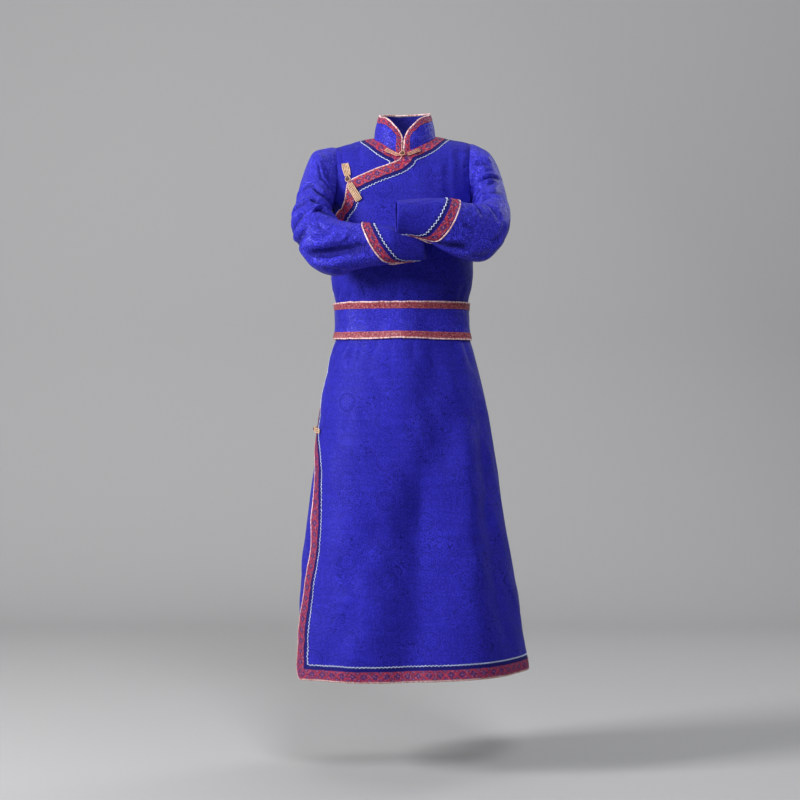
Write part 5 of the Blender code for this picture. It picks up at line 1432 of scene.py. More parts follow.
def jacquard_figure(look, u, v):
    """The tone-on-tone figure: roundels ringed by small flowers, frets and scrolls between, 0 to 1."""
    wide, tall = 92.0, 92.0
    shift = (u / wide).floor() * 0.5
    cx = ((u / wide).frac() - 0.5) * wide
    cy = ((v / tall + shift).frac() - 0.5) * tall
    r, th = length_of(cx, cy), angle_of(cx, cy)
    soft = 0.5
    ring = r.band(21.4, 23.2, soft).most(r.band(17.6, 18.6, soft) * 0.8)
    scallop = abs(r - 20.0 - (th * 18.0).cos() * 0.9).rise(0.9, 0.4)
    petal = 10.6 + 3.4 * (th * 6.0).cos()
    flower = abs(r - petal).rise(1.5, 0.8) * 0.9
    inner = abs(r - (5.6 + 1.5 * (th * 6.0 + 3.1).cos())).rise(1.1, 0.6)
    heart = r.rise(2.4, 1.8)
    spoke = abs((th * 6.0).sin()).rise(0.30, 0.16) * r.band(12.5, 17.0, 0.5) * 0.8
    # eight small flowers stand round the ring
    turn = th * (8.0 / (2 * math.pi)) + 0.5
    fold = (turn.frac() - 0.5) * (2 * math.pi / 8.0)
    lx, ly = r * fold.cos() - 32.0, r * fold.sin()
    lr, lth = length_of(lx, ly), angle_of(lx, ly)
    small = abs(lr - (5.6 + 1.5 * (lth * 5.0).cos())).rise(1.1, 0.6).most(lr.rise(2.8, 2.0))
    medallion = ring.most(scallop).most(flower).most(inner).most(heart).most(spoke).most(small)
    medallion = medallion * (look.noise("cloth", 8.0, 1.0).rise(0.36, 0.60) * 0.5 + 0.5)
    # frets and scrolls fill the ground
    cell = 15.0
    odd = (((u / cell).floor() + (v / cell).floor()) * 0.5).frac().rise(0.2, 0.3)
    fx, fy = ((u / cell).frac() - 0.5) * cell, ((v / cell).frac() - 0.5) * cell
    gx = fx * (1.0 - odd) + fy * odd
    gy = fy * (1.0 - odd) + fx * odd
    p = abs(fx).most(abs(fy))
    outer = p.band(5.4, 6.8, 0.35) * (1.0 - gx.rise(1.6, 2.0) * abs(gy).rise(2.9, 2.5))
    middle = p.band(2.5, 3.7, 0.35) * (1.0 - (0.0 - gx).rise(0.9, 1.3) * abs(gy).rise(1.6, 1.2))
    fret = outer.most(middle).most(p.rise(1.2, 0.8))
    cloud = look.noise("cloth", 34.0, 0.0)
    scroll = abs((cloud * 9.0).frac() - 0.5).rise(0.20, 0.09)
    curl = abs((look.noise("cloth", 62.0, 1.0) * 6.0).frac() - 0.5).rise(0.17, 0.08)
    place = look.noise("cloth", 9.0, 0.0).rise(0.44, 0.56)
    fill = (fret * place).most(scroll.most(curl * 0.8) * (1.0 - place))
    clear = r.rise(39.0, 40.0).most(lr.rise(7.2, 7.8) * r.rise(24.6, 25.4)).most(r.band(12.0, 17.4, 0.5) * 0.7)
    return medallion.most(fill * clear * 0.9)


def silk(name, ground, figure, rough, bands, reverse=False, shows=1.0, spark=1.0, gloss=0.24, folds=False):
    """Silk jacquard. bands: the trims' shadow and the darker tape that lies between them. shows: how
    much the figure stands out. spark: how much single threads shine. folds: painted shade, the
    colour made deeper down in its creases."""
    look = Look(name, rough[0], Specular_IOR_Level=gloss, Specular_Tint=(0.36, 0.38, 1.0, 1))
    u, v = look.places("cloth")
    fig = jacquard_figure(look, u, v)
    if reverse:
        fig = 1.0 - fig
    weft = (v * (2 * math.pi / 0.9)).sin() * 0.5 + 0.5
    warp = (u * (2 * math.pi / 1.1) + v * 1.9).sin() * 0.5 + 0.5
    slub = look.noise("cloth", 9.0, 3.0, 0.6, (1.0, 7.0))
    large = look.noise("cloth", 3.0, 2.0)
    grain = look.noise("cloth", 290.0, 2.0, 0.6)
    thread = look.noise("cloth", 130.0, 2.0, 0.65)
    pucker = look.noise("cloth", 62.0, 2.0, 0.6)
    glint = thread.rise(0.50, 0.66) * (0.35 + fig * 0.65)
    share = fig * (0.55 * shows) + (0.0 if shows > 0 else 0.36) + (slub - 0.5) * 0.35 + (large - 0.5) * 0.25 + (grain - 0.5) * (0.36 * spark) + glint * (0.36 * spark) + 0.07 + weft * 0.04
    colour = look.mix(share, ground, figure)
    shine = look.noise("cloth", 150.0, 2.0, 0.7).rise(0.56, 0.70) * (0.3 + fig * 0.7)
    colour = look.mix(shine * (0.22 * spark), colour, (0.13, 0.12, 0.80))
    # painted shade: the colour goes deeper down in the creases' troughs, where shade falls
    if folds:
        lift, _ = look.places("fold", 10.0)
        colour = look.mix(lift.rise(-1.0, -7.0) * 0.62, colour, (0.003, 0.002, 0.050))
    if bands:
        _, d = look.places("trim")
        tape = d.band(21.6, 31.0, 0.4)
        colour = look.mix(tape * (0.72 - thread.rise(0.55, 0.7) * 0.25), colour, (0.012, 0.010, 0.070))
        shade = d.rise(37.5, 33.5) * 0.45
        colour = look.mix(shade, colour, (0.006, 0.005, 0.08))
    look.colour(colour)
    look.rough((fig if shows > 0 else 1.0 - fig) * (rough[1] - rough[0]) + rough[0] + (slub - 0.5) * 0.10 - glint * 0.10)
    look.bump(fig * (0.7 * shows) + weft * 0.08 + warp * 0.06 + slub * 0.5 + grain * (0.3 * spark) + thread * (0.7 * spark) + pucker * (1.8 * spark), 0.00042, 0.95)
    return look.mat


def ribbon(name, base, dark, gold, pale, wide, pitch, low=None):
    """A woven ribbon: a lattice of crossed bands, a dark diamond in each opening, and pale flecks.
    low: mm along it where its colours deepen."""
    look = Look(name, 0.5, Specular_IOR_Level=0.22)
    u, d = look.places("trim")
    y = d / wide                                        # 0 at the outer edge, 1 at the inner
    x = (u / pitch).frac() - 0.5
    x2 = (u / pitch + 0.5).frac() - 0.5
    t = abs(x) * 2.0 + abs(y * 2.0 - 1.0) * 0.92        # 0 in a diamond's middle, 1 on its edge
    rib = (u * (2 * math.pi / 0.95)).sin() * 0.5 + 0.5
    pick = (d * (2 * math.pi / 0.75) + (u / 0.95).floor() * 2.1).sin() * 0.5 + 0.5
    speck = look.noise("trim", 430.0, 1.0, 0.5)
    fleck = look.noise("trim", 240.0, 1.0, 0.5)
    patch = look.noise("trim", 90.0, 2.0, 0.5)
    ragged = (fleck - 0.5) * 0.30
    colour = look.mix(patch.rise(0.38, 0.64), base, tuple(c * 0.55 for c in base))
    inside = (t + ragged).rise(0.74, 0.64)
    corner = (t + ragged).rise(1.30, 1.40)
    dark_share = inside.most(corner * 0.9)
    colour = look.mix(dark_share * 0.93, colour, dark)
    line = abs(t - 1.0).rise(0.12, 0.05)
    colour = look.mix(line * 0.6, colour, gold)
    purple = abs(t - 0.44).rise(0.14, 0.07).most(abs(t - 1.58).rise(0.14, 0.07))
    colour = look.mix(purple * 0.40, colour, (0.110, 0.020, 0.22))
    star = length_of(x * pitch, (y - 0.5) * wide).rise(1.5, 0.9)
    star2 = length_of(x2 * pitch, (y - 0.13) * wide).rise(1.6, 1.0).most(length_of(x2 * pitch, (y - 0.87) * wide).rise(1.6, 1.0))
    colour = look.mix(star * 0.9, colour, pale)
    colour = look.mix(star2 * 0.6, colour, (0.34, 0.26, 0.48))
    border = y.band(0.0, 0.06, 0.015).most(y.band(0.93, 0.975, 0.015))
    colour = look.mix(border * 0.7, colour, gold)
    colour = look.mix(fleck.rise(0.62, 0.70) * 0.55, colour, pale)
    colour = look.mix(fleck.rise(0.43, 0.34) * 0.75, colour, dark)
    colour = look.mix(speck.rise(0.63, 0.71) * 0.40, colour, (0.34, 0.20, 0.42))
    colour = look.mix(rib * 0.16, colour, tuple(c * 0.4 for c in base))
    if low is not None:
        colour = look.mix(u.rise(low[0], low[1]) * 0.30, colour, (0.060, 0.014, 0.085))
    look.colour(colour)
    look.rough(speck * 0.2 + 0.38)
    look.bump(rib * 0.6 + pick * 0.3 + line * 0.5 + dark_share * 0.4 + border * 0.6 + fleck * 0.8, 0.00032, 0.9)
    return look.mat


def belt_ribbon(name):
    """The belt's narrow ribbon: gold diamonds on red, with gold edges."""
    look = Look(name, 0.45, Specular_IOR_Level=0.3)
    u, d = look.places("trim")
    wide, pitch = 13.5, 12.0
    y = d / wide - 0.5
    x = (u / pitch).frac() - 0.5
    diamond = abs(x) * 1.0 + abs(y) * 1.05
    gold, red, dark, pale = (0.38, 0.095, 0.065), (0.25, 0.012, 0.036), (0.040, 0.006, 0.050), (0.50, 0.20, 0.22)
    rib = (u * (2 * math.pi / 0.8)).sin() * 0.5 + 0.5
    speck = look.noise("trim", 420.0, 1.0)
    fleck = look.noise("trim", 230.0, 1.0)
    colour = look.mix(diamond.band(0.20, 0.30, 0.03), red, gold)
    colour = look.mix(diamond.rise(0.11, 0.08), colour, dark)
    colour = look.mix(diamond.band(0.36, 0.45, 0.02) * 0.85, colour, dark)
    colour = look.mix(abs(y).band(0.38, 0.46, 0.02) * 0.8, colour, gold)
    colour = look.mix(fleck.rise(0.58, 0.66) * 0.55, colour, pale)
    colour = look.mix(fleck.rise(0.40, 0.33) * 0.65, colour, dark)
    colour = look.mix(speck.rise(0.60, 0.68) * 0.4, colour, pale)
    look.colour(colour)
    look.rough(speck * 0.2 + 0.32)
    look.bump(rib * 0.5 + diamond.band(0.20, 0.32, 0.03) * 0.6 + abs(y).band(0.36, 0.46, 0.02) * 0.6 + fleck * 0.6, 0.00028, 0.9)
    return look.mat


def satin(name, base, light, rough=0.30, low=None):
    """Satin bias piping, with fine slanting pulls. low: mm along it from where painted shade darkens it."""
    look = Look(name, rough, Sheen_Weight=0.30, Sheen_Roughness=0.3, Sheen_Tint=(1.0, 0.80, 0.88, 1), Specular_IOR_Level=0.75)
    u, v = look.places("trim")
    pull = look.noise("trim", 190.0, 2.0, 0.55, (1.0, 0.35))
    soft = look.noise("trim", 24.0, 2.0)
    grain = ((u + v * 0.9) * (2 * math.pi / 0.7)).sin() * 0.5 + 0.5
    colour = look.mix(pull.rise(0.38, 0.62) * 0.75 + soft.rise(0.4, 0.62) * 0.3, base, light)
    # painted shade: a darker copy of its colour from there on, down towards and along the hem
    if low is not None:
        colour = look.mix(u.rise(low[0], low[1]) * 0.6, colour, tuple(c * 0.5 for c in base))
    look.colour(colour)
    look.rough(pull * 0.16 + rough - 0.07)
    look.bump(pull * 0.9 + soft * 1.6 + grain * 0.12, 0.00040, 0.85)
    return look.mat


def metallic_braid(name):
    """Silver-white braid of flat shining strips."""
    look = Look(name, 0.30, Metallic=0.2, Sheen_Weight=0.1, Specular_IOR_Level=0.8)
    u, d = look.places("trim")
    strip = ((u * 0.6 + d * 1.0) * (2 * math.pi / 0.85)).sin() * 0.5 + 0.5
    bead = (u * (2 * math.pi / 4.6)).sin() * 0.5 + 0.5
    speck = look.noise("trim", 400.0, 1.0)
    colour = look.mix(strip * 0.35 + (1.0 - bead) * 0.45, (0.60, 0.68, 0.90), (0.20, 0.25, 0.56))
    colour = look.mix(speck.rise(0.56, 0.66) * 0.8, colour, (0.92, 0.96, 1.0))
    colour = look.mix(speck.rise(0.42, 0.34) * 0.6, colour, (0.08, 0.10, 0.34))
    look.colour(colour)
    look.rough(speck * 0.25 + 0.20)
    look.bump(strip * 0.8 + speck * 0.5 + bead * 0.6, 0.00024, 0.9)
    return look.mat


def gold_cord(name, deep, light, rough=0.32):
    """Twisted cord with a soft metallic glint; the grooves between strands are darker, as painted shade."""
    look = Look(name, rough, Metallic=0.18, Sheen_Weight=0.15, Sheen_Tint=(1, 0.85, 0.6, 1), Specular_IOR_Level=0.6)
    u, v = look.places("trim")
    thread = ((u * 1.0 - v * 0.75) * (2 * math.pi / 0.62)).sin() * 0.5 + 0.5
    soft = look.noise("trim", 180.0, 2.0)
    # painted shade in the grooves: the stripes run dark where the bump's grooves lie; the soft noise is the cord's own
    # uneven tone
    look.colour(look.mix(thread * 0.55 + soft * 0.55, deep, light))
    look.rough(soft * 0.2 + rough - 0.08)
    look.bump(thread * 0.8 + soft * 0.3, 0.00025, 0.9)
    return look.mat


BLUE_GROUND, BLUE_FIGURE = (0.0103, 0.0090, 0.185), (0.0365, 0.0330, 0.58)
LOOKS = {
    "silk": silk("silk_jacquard_cloth", BLUE_GROUND, BLUE_FIGURE, (0.56, 0.50), True, shows=-1.15, spark=0.5, gloss=0.15),
    "silk_plain": silk("silk_jacquard_no_trim", BLUE_GROUND, (0.044, 0.039, 0.60), (0.50, 0.30), False, shows=1.5, spark=2.0),
    "silk_sleeve": silk("silk_jacquard_sleeve", BLUE_GROUND, (0.044, 0.039, 0.60), (0.50, 0.32), False, shows=1.5, spark=2.0, folds=True),
    "silk_back": silk("silk_jacquard_reverse", (0.010, 0.008, 0.14), (0.018, 0.016, 0.22), (0.62, 0.56), False, True),
    "belt_silk": silk("belt_silk_cloth", (0.0120, 0.0100, 0.210), (0.041, 0.038, 0.60), (0.44, 0.26), False),
    "ribbon": ribbon("woven_ribbon", (0.44, 0.009, 0.036), (0.024, 0.006, 0.080), (0.44, 0.040, 0.050), (0.52, 0.18, 0.30), 22.0, 25.0, (520, 760)),
    "ribbon_low": ribbon("woven_ribbon_hem", (0.44, 0.009, 0.036), (0.024, 0.006, 0.080), (0.44, 0.040, 0.050), (0.52, 0.18, 0.30), 22.0, 25.0, (-20, -10)),
    "belt_ribbon": belt_ribbon("woven_belt_ribbon"),
    # piping: painted shade darkens it from 900 mm along the front edges, and all along the back hem
    "satin": satin("satin_piping_cloth", (0.42, 0.175, 0.160), (0.86, 0.58, 0.58), 0.27, (900, 1500)),
    "satin_low": satin("satin_piping_hem", (0.42, 0.175, 0.160), (0.86, 0.58, 0.58), 0.27, (-20, -10)),
    "braid": metallic_braid("zigzag_braid_thread"),
    "gold": gold_cord("gold_cord_thread", (0.46, 0.20, 0.095), (1.0, 0.74, 0.50)),
    "copper": gold_cord("copper_cord_thread", (0.42, 0.130, 0.085), (0.92, 0.48, 0.36)),
    "knot": gold_cord("knot_cord_thread", (0.030, 0.011, 0.012), (0.30, 0.14, 0.08), 0.34),
    # dark cord laid in the tabs' grooves: painted shade between the cords
    "gap": gold_cord("brown_thread", (0.030, 0.010, 0.006), (0.10, 0.035, 0.016), 0.5),
}


# ---------------------------------------------------------------- the cloth pieces
front, back = Half("f", body_creases), Half("b", body_creases)
front.other = back
H = 0.0058 * FINE
arm_rows = np.linspace(0, ARMPIT, int(76 / FINE) + 1)
down_y = np.arange(float(front.y_of_row(ARMPIT)), 1.318, 0.0075 * FINE)
side_rows = front.row_of_y(down_y)
nets = outlines(front, back, H, 0.0002, shoulder=int(16 / FINE), rows=(arm_rows, side_rows))
for spec in nets.values():
    ys = np.concatenate([np.arange(0.006, 0.33, 0.0046 * FINE), np.arange(0.33, 0.64, 0.0046 * FINE), np.arange(0.64, 1.37, 0.0062 * FINE)])
    panel_net(spec, H, 0.0002, 1.0, 0.0056 * FINE, ys, 0.0030 * FINE)

sleeves, holes = {}, []
for side, sign, text in (("left", 1, SLEEVE_LEFT), ("right", -1, SLEEVE_RIGHT)):
    ring, ang = armhole(front, back, sign, arm_rows)
    s = Sleeve(text, sign, ring, ang, sleeve_creases(side[0]))
    yf, yb = front.y_of_row(arm_rows), back.y_of_row(arm_rows)
    nf = front.at(np.stack([sign * front.girth(yf, sign), yf], -1))[1]
    nb = back.at(np.stack([sign * back.girth(yb, sign), yb], -1))[1]
    both = np.concatenate([nf, nb[::-1][1:-1]])
    both[0] = unit(nf[0] + nb[0])
    both[len(arm_rows) - 1] = unit(nf[-1] + nb[-1])
    avg = unit(both + s.normal(np.full(len(ang), s.length), ang))
    holes.append((ring, avg))
    sleeves[side] = (s, ang, avg)


def shared_normals(half, xy, n):
    """Directions of the wall at the seams, shared by both pieces that meet there."""
    n = n.copy()
    top = np.where(xy[:, 1] < 0.002)[0]
    if len(top):
        flat_xy = np.stack([xy[top, 0], 0 * top], -1)
        n[top] = unit(front.at(flat_xy)[1] + back.at(flat_xy)[1])
    p = half.at(xy)[0]
    near = np.where(xy[:, 1] < 0.3)[0]
    for ring, avg in holes:
        d = np.linalg.norm(p[near][:, None] - ring[None], axis=-1)
        k = d.argmin(1)
        close = d[np.arange(len(near)), k] < 0.0012
        n[near[close]] = avg[k[close]]
    return n


def ricrac(name, centre, half_of, up_of, ring=False, calm=None):
    """The zigzag braid along a line in the flat. half_of turns places into points and normals."""
    period, swing, half_wide, thick = 0.0086, 0.0012, 0.0010, 0.0009
    line = resample(centre, 0.0011 * FINE)
    run = np.concatenate([[0], np.cumsum(np.linalg.norm(np.diff(line, axis=0), axis=1))])
    tan = unit(np.gradient(line, axis=0))
    for _ in range(3):
        tan[1:-1] = unit(tan[:-2] + tan[1:-1] + tan[2:])
    nrm = np.stack([-tan[:, 1], tan[:, 0]], -1)
    waves = max(1, round(run[-1] / period))
    off = swing * np.sin(2 * math.pi * waves * run / run[-1]) * (1 - 0.12 * np.cos(4 * math.pi * waves * run / run[-1]))
    if calm is not None:                      # drawn straighter where it rounds the neck
        off = off * (1 - 0.5 * calm(line))
    across = np.array([-1, -0.62, 0, 0.62, 1.0]) * half_wide
    dome = np.array([0.25, 0.85, 1.0, 0.85, 0.25]) * thick
    if ring:
        line, nrm, off, run_in = line[:-1], nrm[:-1], off[:-1], run[:-1]
    else:
        run_in = run
    xy = line[:, None] + nrm[:, None] * (off[:, None] + across[None])[..., None]
    flat_xy = xy.reshape(-1, 2)
    lift = np.tile(dome, len(line))
    p, n = half_of(flat_xy)
    up = up_of(flat_xy)[:, None] if up_of else 0.0
    outer, inner = p + n * (up + (SEAM + lift)[:, None]), p + n * (up + SEAM)
    uv = np.stack([np.repeat(run_in, 5), np.tile(across, len(line))], -1)
    if ring:
        # turned so that the ring runs along the columns
        rows, cols = 5, len(line)
        order = (np.arange(rows)[:, None] + np.arange(cols)[None] * 5).ravel()
        polys, vert_of = grid_polys(rows, cols, True)
        wide = np.stack(np.meshgrid(np.append(run_in, run[-1]), across), -1).reshape(-1, 2)
        return wall(name, outer[order], inner[order], polys, {"trim": wide}, ["braid"], vert_of, sharp=60)
    polys, vert_of = grid_polys(len(line), 5, False)
    return wall(name, outer, inner, polys, {"trim": uv}, ["braid"], vert_of, sharp=60)


def keep_inside(line, poly):
    """The longest stretch of a line that lies inside an outline."""
    ok = inside(line, poly)
    best, start = (0, 0), None
    for k, v in enumerate(np.append(ok, False)):
        if v and start is None:
            start = k
        if not v and start is not None:
            if k - start > best[1] - best[0]:
                best = (start, k)
            start = None
    return line[best[0]:best[1]]


GAP = PIPING_R + SEAM
pieces = {}
SHEETS, SEWN_ON = [], {}                       # sheets of cloth, with what is sewn on each


def sheet(node, piece, **facts):
    SHEETS.append((node, piece, facts))


def sewn_on(node, piece):
    SEWN_ON.setdefault(node, []).append(piece)
    return piece


for name, spec in nets.items():
    half, xy, tri = spec["half"], spec["xy"], spec["tri"]
    up = over(xy[:, 0], xy[:, 1]) if name == "front_outer" else 0 * xy[:, 0]
    p, n = half.at(xy, up)
    inner = p - shared_normals(half, xy, n) * CLOTH
    edges = [spec["edge"]] + ([spec["neck"]] if "neck" in spec else [])
    reach = [distance(xy, e) for e in edges]
    trims = np.stack([reach[0][1], reach[0][0]], -1)
    if len(edges) > 1:
        nearer = reach[1][0] < reach[0][0]
        trims[nearer] = np.stack([reach[1][1], reach[1][0]], -1)[nearer]
    cloth_uv = np.stack([xy[:, 0], -xy[:, 1]], -1)
    piece = wall(f"cloth_{name}", p, inner, tri, {"cloth": cloth_uv, "trim": trims}, ["silk", "silk_back"])
    pieces[name] = stand_for(piece, "silk_jacquard", name)
    size = np.ptp(xy, axis=0)
    a, b, c = xy[tri[:, 0]], xy[tri[:, 1]], xy[tri[:, 2]]
    net_area = float(np.abs((b - a)[:, 0] * (c - a)[:, 1] - (b - a)[:, 1] * (c - a)[:, 0]).sum() / 2)
    sheet(name, piece, flat=(round(float(size[0]), 3), round(float(size[1]), 3)), held="hung", rests_on=[], area=round(net_area, 4))
    for k, (d, e) in enumerate(zip(spec["dist"], edges)):
        tail = {"front_outer": "front_outer", "front_under": "front_under"}.get(name) or ("back_hem", "back_neck")[k]
        used, faces = parts_of(xy, tri, d < TRIMS[0])
        base, nn = p[used], n[used]
        where = np.stack([reach[k][1], reach[k][0]], -1)[used]
        worn = 0.00012 * np.sin(where[:, 0] * 190) * np.sin(where[:, 1] * 260 + 1)
        strip = wall(f"ribbon_on_{tail}", base + nn * (SEAM + RIBBON + worn[:, None]), base + nn * SEAM, faces, {"trim": where}, ["ribbon_low" if tail == "back_hem" else "ribbon"])
        stand_for(strip, "ribbon", f"ribbon_{tail}")
        mid = parallel(e, (TRIMS[1] + TRIMS[2]) / 2, 0.002, spec["outline"])[1:-1]
        mid = keep_inside(mid, spec["outline"])
        up_of = (lambda q: over(q[:, 0], q[:, 1])) if name == "front_outer" else None
        braid = ricrac(f"zigzag_on_{tail}", mid, lambda q, half=half: half.at(q), up_of, calm=lambda q: step(0.17, 0.13, q[:, 1]))
        stand_for(sewn_on(name, braid), "zigzag_braid", f"braid_{tail}")


def edge_cord(name, node, half, line, side):
    moved = outward(resample(line, 0.004 * FINE), side * GAP)
    up = (over(moved[:, 0], moved[:, 1]) if "outer" in name else 0 * moved[:, 0]) - CLOTH / 2
    cord = tube(name, half.at(moved, up)[0], PIPING_R, "satin_low" if "hem" in name else "satin")
    return stand_for(sewn_on("back" if "back" in node else node[7:], cord), "satin_piping", node)


e = nets["front_outer"]["edge"]
pit = int(np.argmin(np.linalg.norm(e - np.array([-0.001, 0.087]), axis=1)))
edge_cord("cord_on_front_outer", "piping_front_outer", front, e[pit:], -1)
e2 = nets["front_under"]["edge"]
pit2 = int(np.argmin(np.linalg.norm(e2 - np.array(UNDER_EDGE[0]), axis=1)))
edge_cord("cord_on_front_under", "piping_front_under", front, e2[pit2:], 1)
edge_cord("cord_on_back_hem", "piping_back_hem", back, nets["back"]["edge"], -1)

# sleeves and cuffs
for side, (s, ang, avg) in sleeves.items():
    first = int(np.argmin(np.mod(ang - math.radians(270), 2 * math.pi)))
    order = (np.arange(len(ang)) + first) % len(ang)
    ang, avg = ang[order], avg[order]
    turned = np.mod(ang - math.radians(270), 2 * math.pi) - math.pi      # -180 to 180 round the front
    cols = len(ang)
    marks = np.concatenate([np.linspace(s.length, 0.0062, int((s.length - 0.006) / (0.0027 * FINE)) + 1)])
    w, a = np.meshgrid(marks, ang, indexing="ij")
    p, n = s.at(w, a)
    n[0] = avg
    polys, vert_of = grid_polys(len(marks), cols, True)
    rad = np.linalg.norm(p - p.mean(1, keepdims=True), axis=-1).mean(1)
    across = np.append(turned, turned[0] + 2 * math.pi)
    uv = np.stack([across[None] * rad[:, None], 0 * across[None] - marks[:, None]], -1).reshape(-1, 2)
    # the creases' depth goes into the fold map, which the sleeve's material turns into painted shade in the troughs
    lift = s.rel(s, w, a)
    lift = np.concatenate([lift, lift[:, :1]], 1).reshape(-1)
    sleeve = wall(f"cloth_sleeve_{side}", p.reshape(-1, 3), (p - n * CLOTH).reshape(-1, 3), polys,
                  {"cloth": uv, "fold": np.stack([lift * 100, 0 * lift], -1)}, ["silk_sleeve", "silk_back"], vert_of)
    stand_for(sleeve, "silk_jacquard", f"sleeve_{side}")
    reach = s.reach(ang)
    small = np.minimum(1, reach / 0.05)
    t1, t2, t3 = (t * small for t in CUFF_TRIMS)
    # outer face of the cuff, from its fold at the wrist back to its trimmed edge
    shares = np.linspace(0, 1, int(30 / FINE))[1:]
    rows_w = [0 * reach + 0.0062, 0 * reach + 0.0030, 0 * reach + 0.0002, 0 * reach - 0.0016, 0 * reach - 0.0021,
              0 * reach - 0.0014, 0 * reach + 0.0008]
    rows_o = [-CLOTH, -CLOTH, -0.0009, -0.0001, 0.0011, 0.0023, 0.0031]
    in_w = [0 * reach + 0.0062, 0 * reach + 0.0032, 0 * reach + 0.0012, 0 * reach + 0.0004, 0 * reach + 0.0001,
            0 * reach + 0.0006, 0 * reach + 0.0014]
    in_o = [0.0 - 0.0001, 0.0 - 0.0001, 0.0 + 0.0003, 0.0007, 0.0011, 0.0016, 0.0020]
    base = [t * (reach - t3 - 0.004) + 0.004 for t in shares]
    tail = [reach - t3, reach - t2, reach - t1 - 0.0, *(reach - t1 * (1 - q) for q in (0.25, 0.5, 0.75, 1.0))]
    rows_w += base[:-1] + tail
    rows_o += [0.0020 + CLOTH] * (len(base) - 1 + len(tail))
    in_w += base[:-1] + tail
    in_o += [0.0020] * (len(base) - 1 + len(tail))
    po = np.stack([s.at(x, ang, o)[0] for x, o in zip(rows_w, rows_o)])
    pi = np.stack([s.at(x, ang, o)[0] for x, o in zip(in_w, in_o)])
    pw = np.stack(rows_w)
    polys, vert_of = grid_polys(len(rows_w), cols, True)
    crad = 0.045
    trim_uv = np.stack([np.append(ang[0] * 0 + turned, turned[0] + 2 * math.pi)[None] * crad + 0 * pw[:, :1],
                        np.concatenate([reach[None] - pw, (reach[None] - pw)[:, :1]], 1)], -1).reshape(-1, 2)
    cloth_uv = np.stack([across[None] * crad + 0.031 + 0 * pw[:, :1], np.concatenate([pw, pw[:, :1]], 1) + 0.013], -1).reshape(-1, 2)
    cuff = wall(f"cloth_cuff_{side}", po.reshape(-1, 3), pi.reshape(-1, 3), polys,
                {"cloth": cloth_uv, "trim": trim_uv}, ["silk", "silk_back"], vert_of)
    stand_for(cuff, "silk_jacquard", f"cuff_{side}")
    around = float(np.linalg.norm(np.diff(np.concatenate([po[8], po[8][:1]]), axis=0), axis=1).sum())
    sheet(f"cuff_{side}", cuff, flat=(round(around, 3), round(float(reach.max()) + 0.008, 3)), held="folded", rests_on=[f"sleeve_{side}"],
             area=round(around * (float(reach.mean()) + 0.008), 4))
    # ribbon on the cuff's edge
    nn = s.normal(pw, ang[None] + 0 * pw)
    k = len(rows_w) - 5
    q, m = po[k:], nn[k:]
    polys, vert_of = grid_polys(5, cols, True)
    wcuff = np.concatenate([(reach[None] - pw[k:]) / np.maximum(small, 0.3) * 22 / 18, ((reach[None] - pw[k:]) / np.maximum(small, 0.3) * 22 / 18)[:, :1]], 1)
    uv = np.stack([np.append(turned, turned[0] + 2 * math.pi)[None] * 0.0475 + 0 * wcuff[:, :1], wcuff], -1).reshape(-1, 2)
    strip = wall(f"ribbon_on_cuff_{side}", (q + m * (SEAM + RIBBON)).reshape(-1, 3), (q + m * SEAM).reshape(-1, 3), polys,
                 {"trim": uv}, ["ribbon"], vert_of)
    stand_for(strip, "ribbon", f"ribbon_cuff_{side}")
    dense = np.linspace(0, 2 * math.pi, 400)
    dr = s.reach(dense)
    ds = np.minimum(1, dr / 0.05)
    centre = np.stack([dense * CUFF_R, dr - (CUFF_TRIMS[1] + CUFF_TRIMS[2]) / 2 * ds], -1)
    braid = ricrac(f"zigzag_on_cuff_{side}", centre,
                   lambda xy, s=s: s.at(xy[:, 1], xy[:, 0] / CUFF_R, 0.0020 + CLOTH), None, ring=True)
    stand_for(sewn_on(f"cuff_{side}", braid), "zigzag_braid", f"braid_cuff_{side}")
    ring_line = np.stack([dense[:-1] * CUFF_R, dr[:-1]], -1)
    turn3 = np.concatenate([ring_line, ring_line + [2 * math.pi * CUFF_R, 0], ring_line + [4 * math.pi * CUFF_R, 0]])
    path = outward(turn3, -GAP - 0.0010)[399:798] - [2 * math.pi * CUFF_R, 0]
    line = s.at(path[:, 1], path[:, 0] / CUFF_R, 0.0020 + CLOTH / 2)[0][::2]
    cord = tube(f"cord_on_cuff_{side}", line, PIPING_R, "satin", ring=True)
    stand_for(sewn_on(f"cuff_{side}", cord), "satin_piping", f"piping_cuff_{side}")

# collar
neck_r = e2[:pit2 + 1]
neck_r = neck_r[neck_r[:, 0] < -0.0066][::-1]
at_neck = flat(NECK_FRONT)
first = np.array([[-0.0058, float(np.interp(-0.0058, at_neck[:, 0], at_neck[:, 1]))]])
right = front.at(np.concatenate([first, neck_r]))[0]
behind = back.at(nets["back"]["neck"][::-1])[0][1:-1]
neck_l = e[:pit]
neck_l = neck_l[neck_l[:, 0] > 0.0055]
last = np.array([[0.0047, float(np.interp(0.0047, at_neck[:, 0], at_neck[:, 1]))]])
left = np.concatenate([neck_l, last])
left = front.at(left, over(left[:, 0], left[:, 1]))[0]
base = np.concatenate([right, behind, left])
for _ in range(2):
    base[1:-1] = (base[:-2] + 2 * base[1:-1] + base[2:]) / 4
inward = unit(np.stack([0.004 - base[:, 0], -0.004 - base[:, 1], 0 * base[:, 0]], -1))
col = Collar(base + inward * 0.0005 + np.array([0, 0, 0.0005]))
low = np.stack([col.run, 0 * col.run], -1)
s_top = np.unique(np.concatenate([np.linspace(0, 0.018, 16), np.linspace(0.018, col.length - 0.018, 80), np.linspace(col.length - 0.018, col.length, 16)]))
top = np.stack([s_top, col.edge_height(s_top)], -1)
outline = np.concatenate([low, top[::-1]])
edge = np.concatenate([low[:1], top, low[-1:]])
